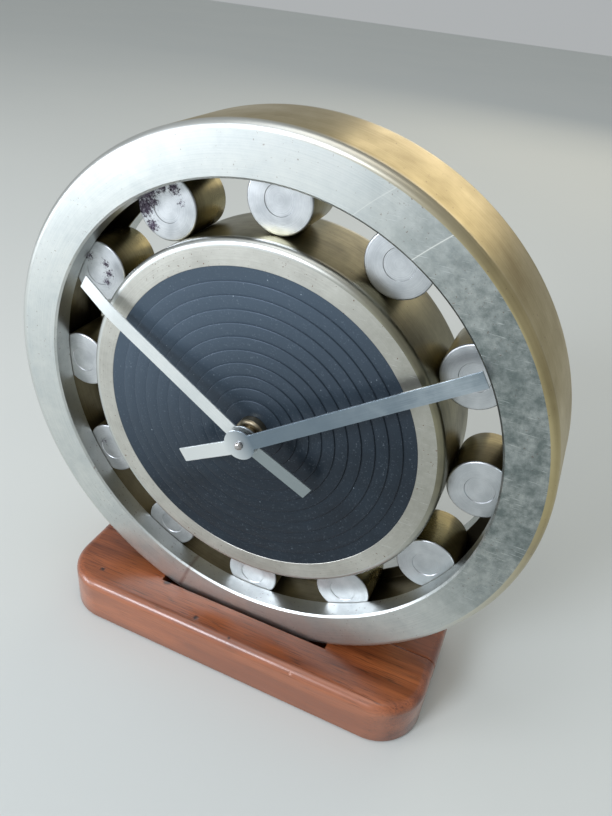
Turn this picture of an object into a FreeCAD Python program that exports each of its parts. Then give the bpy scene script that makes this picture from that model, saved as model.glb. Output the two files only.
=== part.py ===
# Desk clock made from a large single-row cylindrical roller bearing on a wooden base.
# Millimetres. X runs to the right, Y to the back and Z up, and the origin is the middle of
# the base's underside. The clock's axis is parallel to Y, at the centre of the bearing.

import FreeCAD, Part
import math
import os
import re
import Sketcher

V = FreeCAD.Vector

SIZES = [
    # The bearing
    ("ring_diameter", 230, "outside diameter of the bearing"),
    ("ring_width", 40, "width of both rings"),
    ("outer_wall", 13.19, "outer ring's wall outside its track"),
    ("rib_height", 5.31, "how far the outer ring's two ribs stand in from its track"),
    ("inner_wall", 11.75, "inner ring's wall, from its bore to its track"),
    ("ring_rounding", 3, "rounding of the outer ring's outside edges"),
    ("rib_chamfer", 0.8, "chamfer of the ribs' bore edges"),
    ("inner_rounding", 2.7, "rounding of the inner ring's outside edges"),
    ("bore_chamfer", 2, "chamfer of the inner ring's bore edges"),
    ("roller_diameter", 25, "diameter of a roller"),
    ("roller_length", 22, "length of a roller"),
    ("roller_count", 12, "one roller for each hour"),
    ("roller_chamfer", 0.7, "chamfer of a roller's end edges"),
    ("roller_recess_radius", 5.7, "radius of the shallow recess turned in a roller's end"),
    ("roller_recess_depth", 0.3, "depth of that recess"),
    ("bearing_clearance", 0.03, "play between a roller and its track or ribs"),
    # The base
    ("base_length", 185, "length of both boards"),
    ("base_depth", 80, "depth of the two boards together"),
    ("base_height", 24.1, "thickness of the boards"),
    ("base_corner", 21.4, "plan radius of the base's corners"),
    ("base_rounding", 4.5, "rounding of the base's top edges"),
    ("foot_chamfer", 1.2, "chamfer round the underside"),
    ("seam_place", -4, "where the glued seam lies, from the bearing's middle"),
    ("seam_chamfer", 0.5, "chamfer of each board beside the seam"),
    ("ring_sink", 8.6, "how deep the bearing stands in the base"),
    ("pocket_gap", 1.4, "space in front of and behind the bearing in its pocket"),
    ("pocket_end_gap", 0.2, "space at each end of the pocket"),
    # The dial and what clamps it
    ("dial_thickness", 5, "thickness of the dial plate"),
    ("dial_recess", 0.1, "how far the dial lies behind the ring's face"),
    ("dial_fit", 0.02, "play between the dial and the inner ring's bore"),
    ("step_first_radius", 13, "radius of the smallest step turned in the dial"),
    ("dial_margin", 5.48, "plain rim of the dial outside its largest step"),
    ("step_count", 10, "number of steps"),
    ("step_depth", 0.6, "drop at each step"),
    ("washer_diameter", 16, "diameter of the rubber washer behind the dial"),
    ("washer_thickness", 1, "thickness of that washer"),
    ("bush_diameter", 8, "outside diameter of the threaded bush"),
    ("bush_length", 11.8, "length of the bush in front of the movement"),
    ("bush_flange_diameter", 11, "flange that holds the bush in the case"),
    ("bush_flange_thickness", 0.3, "thickness of that flange"),
    ("nut_diameter", 12.6, "diameter of the brass fixing nut"),
    ("nut_thickness", 4.1, "thickness of that nut"),
    ("nut_chamfer", 0.8, "chamfer of the nut's front edge"),
    ("hole_play", 0.1, "play of the bush in the dial and the washer"),
    # The hands
    ("hand_width", 6.3, "width of both hands"),
    ("hand_thickness", 0.8, "thickness of both hands"),
    ("hub_diameter", 13, "round disc in the middle of a hand"),
    ("hour_hand_height", 8.4, "how far the hour hand's middle stands before the ring's face"),
    ("hour_reach", 88.3, "axis to the hour hand's tip"),
    ("hour_tail", 32.4, "axis to the end of the hour hand's tail"),
    ("hour_lean", 2.9, "angle that the hour hand's long arm leans back to the bearing"),
    ("hour_tail_lean", 4.3, "angle that its tail leans back"),
    ("bend_start", 68, "where the hour hand's long arm bends further back"),
    ("bend_radius", 60, "radius of that bend"),
    ("bend_angle", 8, "angle that the arm bends through"),
    ("hour_angle", 300.3, "hour hand at rest, clockwise from twelve"),
    ("minute_hand_height", 11.7, "how far the minute hand's middle stands before the ring's face"),
    ("minute_reach", 97.5, "axis to the minute hand's tip"),
    ("minute_tail", 32.5, "axis to the end of the minute hand's tail"),
    ("minute_lean", 4.4, "angle that the minute hand's long arm leans back to the bearing"),
    ("minute_tail_lean", 7.6, "angle that its tail leans back"),
    ("minute_angle", 57.3, "minute hand at rest, clockwise from twelve"),
    ("hour_pipe_diameter", 5, "outside diameter of the hour wheel's pipe"),
    ("arbor_diameter", 3.4, "diameter of the minute arbor"),
    ("arbor_reach", 13.8, "how far the minute arbor stands before the ring's face"),
    ("arbor_rounding", 1.3, "rounding of the minute arbor's tip"),
    ("pivot_play", 0.05, "radial play of every turning piece"),
    # The movement's case
    ("case_width", 56, "width and height of the movement"),
    ("case_depth", 16, "depth of the movement"),
    ("case_split", 8, "depth of the movement's front half"),
    ("case_wall", 1.2, "wall of both halves"),
    ("case_rounding", 2.5, "rounding of the case's corners"),
    ("bay_top", -10.6, "top of the battery bay, from the clock's axis"),
    ("bay_wall", 1, "wall between the battery and the train"),
    ("saddle_place", 15, "middle of each saddle under the battery"),
    ("saddle_thickness", 2, "thickness of a saddle"),
    ("saddle_depth", 4.8, "how far a saddle stands up from the front wall"),
    ("battery_diameter", 14.5, "diameter of the cell"),
    ("battery_body_length", 49.1, "length of the cell without its button"),
    ("battery_button_diameter", 5.5, "diameter of the cell's button"),
    ("battery_button_length", 1.4, "length of the cell's button"),
    ("battery_depth", 8.55, "axis of the cell, behind the movement's front"),
    ("battery_height", -19.3, "axis of the cell, from the clock's axis"),
    ("contact_thickness", 0.4, "thickness of both contact plates"),
    ("contact_width", 10, "width of both contact plates"),
    ("contact_dome_diameter", 5, "dome that presses on the cell's flat end"),
    # The plates that carry the wheels
    ("plate_thickness", 0.8, "thickness of the middle plate and of the bridge"),
    ("middle_plate_depth", 4.2, "front of the middle plate, behind the movement's front"),
    ("bridge_depth", 13, "front of the bridge, behind the movement's front"),
    ("plate_left", -19.5, "left edge of the middle plate"),
    ("plate_right", 20, "right edge of the middle plate"),
    ("plate_bottom", -9.2, "lower edge of both plates"),
    ("plate_top", 19.5, "upper edge of both plates"),
    ("bridge_left", -10, "left edge of the bridge"),
    ("bridge_right", 18.5, "right edge of the bridge"),
    ("pillar_width", 2.6, "width of the square pillars under the middle plate"),
    ("post_width", 2.2, "width of the square posts under the bridge and the circuit board"),
    # The wheels
    ("motion_module", 0.45, "tooth module of the wheels that drive the hands"),
    ("train_module", 0.3333, "tooth module of the going train"),
    ("rotor_module", 0.2667, "tooth module of the rotor's pinion and its wheel"),
    ("tooth_addendum", 0.8, "tooth height outside the pitch circle, in modules"),
    ("tooth_dedendum", 1.15, "tooth depth inside the pitch circle, in modules"),
    ("tooth_tip", 0.24, "width of a tooth's tip, as a part of the pitch"),
    ("tooth_foot", 0.52, "width of a tooth's foot, as a part of the pitch"),
    ("cannon_teeth", 10, "teeth of the pinion on the minute arbor"),
    ("minute_wheel_teeth", 30, "teeth of the minute wheel"),
    ("minute_pinion_teeth", 8, "teeth of the minute wheel's pinion"),
    ("hour_wheel_teeth", 32, "teeth of the hour wheel"),
    ("setting_teeth", 12, "teeth of the setting knob's pinion"),
    ("train_pinion_teeth", 6, "teeth of every pinion of the going train"),
    ("centre_teeth", 48, "teeth of the centre wheel"),
    ("third_teeth", 45, "teeth of the third wheel"),
    ("second_teeth", 30, "teeth of the second wheel"),
    ("intermediate_teeth", 36, "teeth of the intermediate wheel"),
    ("minute_wheel_direction", 290, "from the axis to the minute wheel, clockwise from up"),
    ("knob_direction", 226, "from the minute wheel to the setting knob"),
    ("third_direction", 70, "from the axis to the third wheel"),
    ("second_direction", 0, "from the third wheel to the second wheel"),
    ("intermediate_direction", 270, "from the second wheel to the intermediate wheel"),
    ("rotor_direction", 308, "from the intermediate wheel to the rotor"),
    ("wheel_thickness", 0.6, "thickness of every wheel and pinion of the train"),
    ("hour_wheel_thickness", 0.8, "thickness of the hour wheel and its pinion"),
    ("hour_layer", 1.6, "front of the hour wheel, behind the movement's front"),
    ("minute_layer", 2.8, "front of the minute wheel"),
    ("centre_layer", 5.4, "front of the centre wheel"),
    ("third_layer", 6.6, "front of the third wheel"),
    ("second_layer", 7.8, "front of the second wheel"),
    ("intermediate_layer", 9, "front of the intermediate wheel"),
    ("pivot_start", 0.5, "where the setting and minute wheel arbors start in the front wall"),
    ("train_pivot_start", 4.4, "where the train's arbors start in the middle plate"),
    ("train_pivot_end", 13.6, "where the train's arbors end in the bridge"),
    ("train_arbor_diameter", 1, "diameter of the train's arbors"),
    ("rotor_arbor_diameter", 0.8, "diameter of the rotor's arbor"),
    ("centre_arbor_diameter", 1.5, "diameter of the centre and minute wheel arbors"),
    ("friction_length", 6.5, "how far the centre arbor reaches into the minute arbor"),
    ("knob_shaft_diameter", 2, "diameter of the setting knob's shaft"),
    ("knob_diameter", 9, "diameter of the setting knob"),
    ("knob_thickness", 2, "thickness of the setting knob"),
    ("knob_gap", 0.2, "space between the knob and the back cover"),
    ("knob_flutes", 16, "number of flutes round the knob"),
    ("knob_flute_depth", 0.3, "depth of those flutes"),
    # The motor, the coil and the circuit
    ("magnet_diameter", 5.8, "diameter of the rotor's magnet"),
    ("magnet_depth", 10.4, "front of the magnet, behind the movement's front"),
    ("magnet_thickness", 2, "thickness of the magnet"),
    ("stator_depth", 10.9, "front of the stator"),
    ("stator_thickness", 1, "thickness of the stator and of the coil's core"),
    ("stator_left", -14, "left edge of the stator"),
    ("stator_right", 10, "right edge of the stator"),
    ("stator_bottom", 11, "lower edge of the stator"),
    ("stator_band_top", 19.4, "upper edge of the stator's band"),
    ("stator_top", 25.5, "upper end of the stator's arms"),
    ("stator_arm", 3, "width of the stator's arms"),
    ("stator_air_gap", 0.3, "space round the magnet"),
    ("stator_notch", 1.2, "radius of the notches that the train's arbors pass"),
    ("coil_height", 23, "axis of the coil, above the clock's axis"),
    ("core_width", 3, "width of the coil's core"),
    ("bobbin_left", -10.5, "left end of the bobbin"),
    ("bobbin_right", 6.5, "right end of the bobbin"),
    ("bobbin_tube_diameter", 3.8, "diameter of the bobbin's tube"),
    ("bobbin_flange_diameter", 6.2, "diameter of the bobbin's flanges"),
    ("bobbin_flange_thickness", 0.8, "thickness of the bobbin's flanges"),
    ("winding_diameter", 5.8, "diameter of the wound coil"),
    ("board_left", -26.5, "left edge of the circuit board"),
    ("board_right", -15, "right edge of the circuit board"),
    ("board_bottom", 4, "lower edge of the circuit board"),
    ("board_top", 26, "upper edge of the circuit board"),
    ("board_depth", 11.9, "front of the circuit board"),
    ("board_thickness", 0.8, "thickness of the circuit board"),
    ("crystal_diameter", 2, "diameter of the quartz crystal's can"),
    ("crystal_length", 6, "length of that can"),
    ("crystal_place", -20, "middle of the can, from the clock's axis"),
    ("crystal_bottom", 14, "lower end of the can, above the clock's axis"),
]

doc = FreeCAD.newDocument("RollerBearingClock")
sheet = doc.addObject("Spreadsheet::Sheet", "Sizes")
for row, (alias, number, note) in enumerate(SIZES, start=1):
    sheet.set("A%d" % row, note)
    sheet.set("B%d" % row, str(number))
    sheet.setAlias("B%d" % row, alias)
doc.recompute()

ALIAS = re.compile(r"\b(%s)\b" % "|".join(alias for alias, number, note in SIZES))

# Places that several pieces share, worked out from the sheet.
RING_CENTRE = "(base_height - ring_sink + ring_diameter / 2)"
RING_FACE = "(-ring_width / 2)"
OUTER_TRACK = "(ring_diameter / 2 - outer_wall)"
PITCH_RADIUS = "(%s - bearing_clearance - roller_diameter / 2)" % OUTER_TRACK
INNER_TRACK = "(%s - 2 * bearing_clearance - roller_diameter)" % OUTER_TRACK
RIB_BORE = "(%s - rib_height)" % OUTER_TRACK
BORE = "(%s - inner_wall)" % INNER_TRACK
TRACK_HALF = "(roller_length / 2 + bearing_clearance)"
DIAL_FRONT = "(dial_recess - ring_width / 2)"
DIAL_BACK = "(%s + dial_thickness)" % DIAL_FRONT
DIAL_RIM = "(%s + bore_chamfer - dial_recess - dial_fit)" % BORE
STEP_PITCH = "((%s - dial_margin - step_first_radius) / (step_count - 1))" % DIAL_RIM
CASE_FRONT = "(%s + washer_thickness)" % DIAL_BACK
CASE_HALF = "(case_width / 2)"
CASE_INSIDE = "(case_width / 2 - case_wall)"
POCKET_FRONT = "(-ring_width / 2 - pocket_gap)"
POCKET_BACK = "(ring_width / 2 + pocket_gap)"
POCKET_HALF = (
    "(sqrt((ring_diameter / 2)^2 - (ring_diameter / 2 - ring_sink)^2) + pocket_end_gap)"
)


def bound(text):
    """An expression with the sheet's name before each of its sizes."""
    return ALIAS.sub(r"Sizes.\1", str(text))


def value(text):
    """The plain number that an expression gives."""
    result = sheet.evalExpression(bound(text))
    return float(getattr(result, "Value", result))


def behind(distance):
    """The place of something a distance behind the front of the movement's case."""
    return "(%s + %s)" % (CASE_FRONT, distance)


PARTS = []


def keep(piece, label):
    """Name a finished piece, and raise it to the clock's axis."""
    own_height = dict(piece.ExpressionEngine).get(".Placement.Base.z", "0")
    piece.Label = label
    piece.setExpression(".Placement.Base.z", "%s + (%s)" % (bound(RING_CENTRE), own_height))
    PARTS.append(piece)
    return piece


# Helpers for bodies made from sketches


def new_body(name):
    return doc.addObject("PartDesign::Body", name)


def new_sketch(body, name, plane, lift="0"):
    """An empty sketch on one of the body's own planes, lifted along the plane's normal."""
    origin = [item for item in body.Origin.OriginFeatures if item.Role == plane][0]
    sketch = body.newObject("Sketcher::SketchObject", name)
    sketch.AttachmentSupport = [(origin, "")]
    sketch.MapMode = "FlatFace"
    sketch.setExpression("AttachmentOffset.Base.z", bound(lift))
    return sketch


def fix_point(sketch, geometry, end, across, up):
    """Tie a point to its two distances from the sketch's origin."""
    for kind, axis, text in (("DistanceX", -2, across), ("DistanceY", -1, up)):
        number = value(text)
        if str(text) == "0":
            sketch.addConstraint(Sketcher.Constraint("PointOnObject", geometry, end, axis))
            continue
        index = sketch.addConstraint(Sketcher.Constraint(kind, -1, 1, geometry, end, number))
        sketch.setExpression("Constraints[%d]" % index, bound(text))


def add_side(sketch, start, finish, radius):
    """Add a straight side, or an arc whose centre is to the left of the way along it."""
    if radius is None:
        return sketch.addGeometry(Part.LineSegment(start, finish)), 1, 2
    chord = finish - start
    left = V(-chord.y, chord.x, 0).normalize()
    side = 1 if value(radius) > 0 else -1
    size = abs(value(radius))
    centre = (start + finish) * 0.5 + left * side * math.sqrt(size ** 2 - (chord.Length / 2) ** 2)
    begin = math.atan2(start.y - centre.y, start.x - centre.x)
    end = math.atan2(finish.y - centre.y, finish.x - centre.x)
    if side < 0:
        begin, end = end, begin
    if end < begin:
        end += 2 * math.pi
    circle = Part.Circle(centre, V(0, 0, 1), size)
    index = sketch.addGeometry(Part.ArcOfCircle(circle, begin, end))
    number = sketch.addConstraint(Sketcher.Constraint("Radius", index, size))
    sketch.setExpression("Constraints[%d]" % number, bound("abs(%s)" % radius))
    return (index, 1, 2) if side > 0 else (index, 2, 1)


def outline(body, name, plane, corners, lift="0"):
    """A closed outline. A corner is two expressions, and a third one bends the side after it."""
    sketch = new_sketch(body, name, plane, lift)
    points = [V(value(corner[0]), value(corner[1]), 0) for corner in corners]
    sides = []
    for index, corner in enumerate(corners):
        following = points[(index + 1) % len(points)]
        radius = corner[2] if len(corner) > 2 else None
        sides.append(add_side(sketch, points[index], following, radius))
    for index, (geometry, start, finish) in enumerate(sides):
        following, next_start = sides[(index + 1) % len(sides)][:2]
        sketch.addConstraint(Sketcher.Constraint("Coincident", geometry, finish, following, next_start))
    for (geometry, start, finish), corner in zip(sides, corners):
        fix_point(sketch, geometry, start, corner[0], corner[1])
    return sketch


def circle_on(body, name, plane, radius, lift="0"):
    """A circle about the sketch's origin."""
    sketch = new_sketch(body, name, plane, lift)
    sketch.addGeometry(Part.Circle(V(0, 0, 0), V(0, 0, 1), value(radius)))
    sketch.addConstraint(Sketcher.Constraint("Coincident", 0, 3, -1, 1))
    index = sketch.addConstraint(Sketcher.Constraint("Radius", 0, value(radius)))
    sketch.setExpression("Constraints[%d]" % index, bound(radius))
    return sketch


def turned(body, name, corners):
    """Turn an outline about the body's own Y axis. A corner is a place along it and a radius."""
    sketch = outline(body, name + "_outline", "YZ_Plane", corners)
    turn = body.newObject("PartDesign::Revolution", name)
    turn.Profile = sketch
    turn.ReferenceAxis = (sketch, ["H_Axis"])
    turn.Angle = 360
    return turn


def padded(body, sketch, name, length, both_ways=False):
    pad = body.newObject("PartDesign::Pad", name)
    pad.Profile = sketch
    pad.setExpression("Length", bound(length))
    pad.Midplane = both_ways
    return pad


def pocketed(body, sketch, name, length, both_ways=False):
    """Cut a sketch into the body, and make sure that something came away."""
    doc.recompute()
    before = body.Shape.Volume
    pocket = body.newObject("PartDesign::Pocket", name)
    pocket.Profile = sketch
    pocket.setExpression("Length", bound(length))
    pocket.Midplane = both_ways
    doc.recompute()
    if body.Shape.Volume > before - 0.001:
        raise RuntimeError("%s cuts nothing" % name)
    return pocket


def dressed(body, kind, name, size, chosen):
    """Fillet or chamfer the edges of the body's last feature that a test chooses."""
    doc.recompute()
    tip = body.Tip
    edges = ["Edge%d" % number for number, edge in enumerate(tip.Shape.Edges, start=1) if chosen(edge)]
    feature = body.newObject("PartDesign::" + kind, name)
    feature.Base = (tip, edges)
    feature.setExpression("Radius" if kind == "Fillet" else "Size", bound(size))
    return feature


def ring_edge(radius, place):
    """A test for the round edge of a radius about the Y axis, at a place along it or its mirror."""
    def chosen(edge):
        curve = edge.Curve
        return (
            isinstance(curve, Part.Circle)
            and abs(curve.Radius - value(radius)) < 0.001
            and abs(abs(curve.Center.y) - abs(value(place))) < 0.001
        )
    return chosen


# Helpers for pieces made from plain solids


def box_of(x_low, x_high, y_low, y_high, z_low, z_high):
    """A box between six places, each an expression."""
    box = doc.addObject("Part::Box", "Box")
    box.setExpression("Length", bound("(%s) - (%s)" % (x_high, x_low)))
    box.setExpression("Width", bound("(%s) - (%s)" % (y_high, y_low)))
    box.setExpression("Height", bound("(%s) - (%s)" % (z_high, z_low)))
    for letter, place in (("x", x_low), ("y", y_low), ("z", z_low)):
        box.setExpression(".Placement.Base." + letter, bound(place))
    return box


def rod_of(diameter, y_low, y_high, x="0", z="0"):
    """A round rod parallel to Y."""
    rod = doc.addObject("Part::Cylinder", "Rod")
    rod.setExpression("Radius", bound("(%s) / 2" % diameter))
    rod.setExpression("Height", bound("(%s) - (%s)" % (y_high, y_low)))
    rod.Placement = FreeCAD.Placement(V(0, 0, 0), FreeCAD.Rotation(V(1, 0, 0), -90))
    for letter, place in (("x", x), ("y", y_low), ("z", z)):
        rod.setExpression(".Placement.Base." + letter, bound(place))
    return rod


def crosswise_rod(diameter, x_low, x_high, y, z):
    """A round rod parallel to X."""
    rod = doc.addObject("Part::Cylinder", "Rod")
    rod.setExpression("Radius", bound("(%s) / 2" % diameter))
    rod.setExpression("Height", bound("(%s) - (%s)" % (x_high, x_low)))
    rod.Placement = FreeCAD.Placement(V(0, 0, 0), FreeCAD.Rotation(V(0, 1, 0), 90))
    for letter, place in (("x", x_low), ("y", y), ("z", z)):
        rod.setExpression(".Placement.Base." + letter, bound(place))
    return rod


def square_posts(places, width, y_low, y_high):
    """Square posts parallel to Y, each about its place beside the clock's axis."""
    return [
        box_of("%s - %s / 2" % (x, width), "%s + %s / 2" % (x, width), y_low, y_high,
               "%s - %s / 2" % (z, width), "%s + %s / 2" % (z, width))
        for x, z in places
    ]


def fused(pieces):
    if len(pieces) == 1:
        return pieces[0]
    union = doc.addObject("Part::MultiFuse", "Union")
    union.Shapes = pieces
    union.Refine = True
    return union


def cut(base, tools):
    difference = doc.addObject("Part::Cut", "Cut")
    difference.Base = base
    difference.Tool = fused(tools)
    return difference


# The wooden base: two boards glued behind one another, with a pocket for the bearing


def base_board(label, near, far, sign):
    """One board, from the seam to the outer face. The sign is -1 in front and 1 behind."""
    body = new_body(label)
    half = "base_length / 2"
    inner = "(%s - base_corner)" % far if sign > 0 else "(%s + base_corner)" % far
    bend = "base_corner" if sign > 0 else "-base_corner"
    corners = [
        (half, near),
        (half, inner, bend),
        ("%s - base_corner" % half, far),
        ("-%s + base_corner" % half, far, bend),
        ("-%s" % half, inner),
        ("-%s" % half, near),
    ]
    plan = outline(body, label + "_plan", "XY_Plane", corners)
    padded(body, plan, label + "_board", "base_height")

    def level(edge, height):
        return all(abs(vertex.Z - value(height)) < 0.001 for vertex in edge.Vertexes)

    def on_seam(edge):
        return all(abs(vertex.Y - value(near)) < 0.001 for vertex in edge.Vertexes)

    dressed(body, "Fillet", label + "_rounding", "base_rounding",
            lambda edge: level(edge, "base_height") and not on_seam(edge))
    dressed(body, "Chamfer", label + "_foot", "foot_chamfer",
            lambda edge: level(edge, "0") and not on_seam(edge))
    dressed(body, "Chamfer", label + "_seam", "seam_chamfer",
            lambda edge: on_seam(edge) and level(edge, "base_height"))
    pocket_end = POCKET_FRONT if sign < 0 else POCKET_BACK
    pocket_floor = "(base_height - ring_sink)"
    pocket = outline(body, label + "_pocket_plan", "XY_Plane", [
        ("-" + POCKET_HALF, near),
        (POCKET_HALF, near),
        (POCKET_HALF, pocket_end),
        ("-" + POCKET_HALF, pocket_end),
    ], "base_height")
    pocketed(body, pocket, label + "_pocket", "base_height - %s" % pocket_floor)
    body.Label = label
    PARTS.append(body)


base_board("base_front_board", "seam_place", "(-base_depth / 2)", -1)
base_board("base_rear_board", "seam_place", "(base_depth / 2)", 1)

# The bearing: an outer ring with two ribs, a plain inner ring and a roller for each hour

body = new_body("outer_ring")
turned(body, "outer_ring_turned", [
    (RING_FACE, RIB_BORE),
    (RING_FACE, "ring_diameter / 2"),
    ("ring_width / 2", "ring_diameter / 2"),
    ("ring_width / 2", RIB_BORE),
    (TRACK_HALF, RIB_BORE),
    (TRACK_HALF, OUTER_TRACK),
    ("-" + TRACK_HALF, OUTER_TRACK),
    ("-" + TRACK_HALF, RIB_BORE),
])
dressed(body, "Fillet", "outer_ring_rounding", "ring_rounding", ring_edge("ring_diameter / 2", RING_FACE))
dressed(body, "Chamfer", "outer_ring_ribs", "rib_chamfer", ring_edge(RIB_BORE, RING_FACE))
keep(body, "outer_ring")

body = new_body("inner_ring")
turned(body, "inner_ring_turned", [
    (RING_FACE, BORE),
    (RING_FACE, INNER_TRACK),
    ("ring_width / 2", INNER_TRACK),
    ("ring_width / 2", BORE),
])
dressed(body, "Fillet", "inner_ring_rounding", "inner_rounding", ring_edge(INNER_TRACK, RING_FACE))
dressed(body, "Chamfer", "inner_ring_bore", "bore_chamfer", ring_edge(BORE, RING_FACE))
keep(body, "inner_ring")


def roller(hour):
    """A roller with a shallow round recess in its front end, at its hour round the track."""
    label = "roller_%02d" % hour
    body = new_body(label)
    half = "roller_length / 2"
    turned(body, label + "_turned", [
        ("-%s + roller_recess_depth" % half, "0"),
        ("-%s + roller_recess_depth" % half, "roller_recess_radius"),
        ("-" + half, "roller_recess_radius"),
        ("-" + half, "roller_diameter / 2"),
        (half, "roller_diameter / 2"),
        (half, "0"),
    ])
    dressed(body, "Chamfer", label + "_chamfer", "roller_chamfer", ring_edge("roller_diameter / 2", half))
    angle = "(%d * 360 / roller_count)" % hour
    body.setExpression(".Placement.Base.x", bound("%s * sin(%s)" % (PITCH_RADIUS, angle)))
    body.setExpression(".Placement.Base.z", bound("%s + %s * cos(%s)" % (RING_CENTRE, PITCH_RADIUS, angle)))
    body.Label = label
    PARTS.append(body)


for hour in range(1, int(value("roller_count")) + 1):
    roller(hour)

# The dial: a disc turned in fine steps, seated in the chamfer of the inner ring's bore

body = new_body("dial_plate")
steps = []
for number in range(int(value("step_count"))):
    radius = "step_first_radius + %d * %s" % (number, STEP_PITCH)
    steps.append((DIAL_FRONT, radius))
    steps.append(("%s + step_depth" % DIAL_FRONT, radius))
turned(body, "dial_turned", [
    (DIAL_BACK, "bush_diameter / 2 + hole_play"),
    (DIAL_FRONT, "bush_diameter / 2 + hole_play"),
] + steps + [
    (DIAL_FRONT, DIAL_RIM),
    ("bore_chamfer - ring_width / 2", "%s - dial_fit" % BORE),
    (DIAL_BACK, "%s - dial_fit" % BORE),
])
keep(body, "dial_plate")

body = new_body("dial_washer")
turned(body, "dial_washer_turned", [
    (DIAL_BACK, "bush_diameter / 2 + hole_play"),
    (CASE_FRONT, "bush_diameter / 2 + hole_play"),
    (CASE_FRONT, "washer_diameter / 2"),
    (DIAL_BACK, "washer_diameter / 2"),
])
keep(body, "dial_washer")

body = new_body("fixing_nut")
NUT_FRONT = "(%s - nut_thickness)" % DIAL_FRONT
turned(body, "fixing_nut_turned", [
    (NUT_FRONT, "bush_diameter / 2"),
    (DIAL_FRONT, "bush_diameter / 2"),
    (DIAL_FRONT, "nut_diameter / 2"),
    (NUT_FRONT, "nut_diameter / 2"),
])
dressed(body, "Chamfer", "fixing_nut_chamfer", "nut_chamfer", ring_edge("nut_diameter / 2", NUT_FRONT))
keep(body, "fixing_nut")

body = new_body("threaded_bush")
BUSH_BORE = "(hour_pipe_diameter / 2 + pivot_play)"
turned(body, "threaded_bush_turned", [
    ("%s - bush_length" % CASE_FRONT, BUSH_BORE),
    ("%s - bush_length" % CASE_FRONT, "bush_diameter / 2"),
    (behind("case_wall"), "bush_diameter / 2"),
    (behind("case_wall"), "bush_flange_diameter / 2"),
    (behind("case_wall + bush_flange_thickness"), "bush_flange_diameter / 2"),
    (behind("case_wall + bush_flange_thickness"), BUSH_BORE),
])
keep(body, "threaded_bush")

# The hands: flat bars with a round disc in the middle and a square tail. Both arms of a hand
# lean back to the bearing from the edge of its disc.

HUB_EDGE = "(hub_diameter / 2)"


def along_and_back(height, corners):
    """Run along one side of a hand seen from its edge, and back along the other.

    A corner is a depth behind the hand's middle, a distance from the axis, and the radius
    that bends the side after it, or None."""
    middle = "-ring_width / 2 - %s" % height
    near = [("%s + hand_thickness / 2 + %s" % (middle, depth), distance) for depth, distance, bend in corners]
    far = [("%s - hand_thickness / 2 + %s" % (middle, depth), distance) for depth, distance, bend in corners]
    bends = [bend for depth, distance, bend in corners]
    there = [place + ("-" + bend,) if bend else place for place, bend in zip(near, bends)]
    bends_back = bends[-2::-1] + [None]
    return there + [place + (bend,) if bend else place for place, bend in zip(far[::-1], bends_back)]


def tail_and_middle(tail, lean):
    """The tail's end and the two edges of the flat middle."""
    return [
        ("(%s - %s) * tan(%s)" % (tail, HUB_EDGE, lean), "-" + tail, None),
        ("0", "-" + HUB_EDGE, None),
        ("0", HUB_EDGE, None),
    ]


def hand(label, height, corners, hole_diameter, angle):
    """Pad a hand's side outline to its width, add its disc and bore it for its pipe or arbor."""
    body = new_body(label)
    side = outline(body, label + "_side", "YZ_Plane", along_and_back(height, corners))
    padded(body, side, label + "_bar", "hand_width", both_ways=True)
    middle = "(ring_width / 2 + %s)" % height
    disc = circle_on(body, label + "_disc_plan", "XZ_Plane", HUB_EDGE,
                     "%s - hand_thickness / 2" % middle)
    padded(body, disc, label + "_disc", "hand_thickness")
    hole = circle_on(body, label + "_hole_plan", "XZ_Plane", hole_diameter + " / 2", middle)
    pocketed(body, hole, label + "_hole", "2 * hand_thickness", both_ways=True)
    body.Placement.Rotation = FreeCAD.Rotation(V(0, 1, 0), value(angle))
    return keep(body, label)


# The hour hand's long arm bends further back near its tip, in an arc and a straight end.
BEND_DEPTH = "(bend_start - %s) * tan(hour_lean)" % HUB_EDGE
ARC_DEPTH = "%s + bend_radius * (cos(hour_lean) - cos(hour_lean + bend_angle))" % BEND_DEPTH
ARC_END = "bend_start + bend_radius * (sin(hour_lean + bend_angle) - sin(hour_lean))"
hand("hour_hand", "hour_hand_height", tail_and_middle("hour_tail", "hour_tail_lean") + [
    (BEND_DEPTH, "bend_start", "bend_radius"),
    (ARC_DEPTH, ARC_END, None),
    ("%s + (hour_reach - (%s)) * tan(hour_lean + bend_angle)" % (ARC_DEPTH, ARC_END), "hour_reach", None),
], "hour_pipe_diameter", "hour_angle")
hand("minute_hand", "minute_hand_height", tail_and_middle("minute_tail", "minute_tail_lean") + [
    ("(minute_reach - %s) * tan(minute_lean)" % HUB_EDGE, "minute_reach", None),
], "arbor_diameter", "minute_angle")

# The wheels: where each one stands, and how its teeth meet its neighbour's


def beside(place, module, teeth, other_teeth, direction):
    """The place of a wheel in mesh with another one, in a direction clockwise from up."""
    distance = value("%s * (%s + %s) / 2" % (module, teeth, other_teeth))
    turn = math.radians(value(direction))
    return place[0] + distance * math.sin(turn), place[1] + distance * math.cos(turn)


def in_mesh(phase, teeth, other_teeth, direction):
    """The turn of a wheel whose gap meets the tooth of another one that is turned by a phase."""
    pitch = 360 / value(teeth)
    other_pitch = 360 / value(other_teeth)
    part = ((value(direction) - phase) % pitch) / pitch
    return value(direction) + 180 - other_pitch * (0.5 - part)


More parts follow.
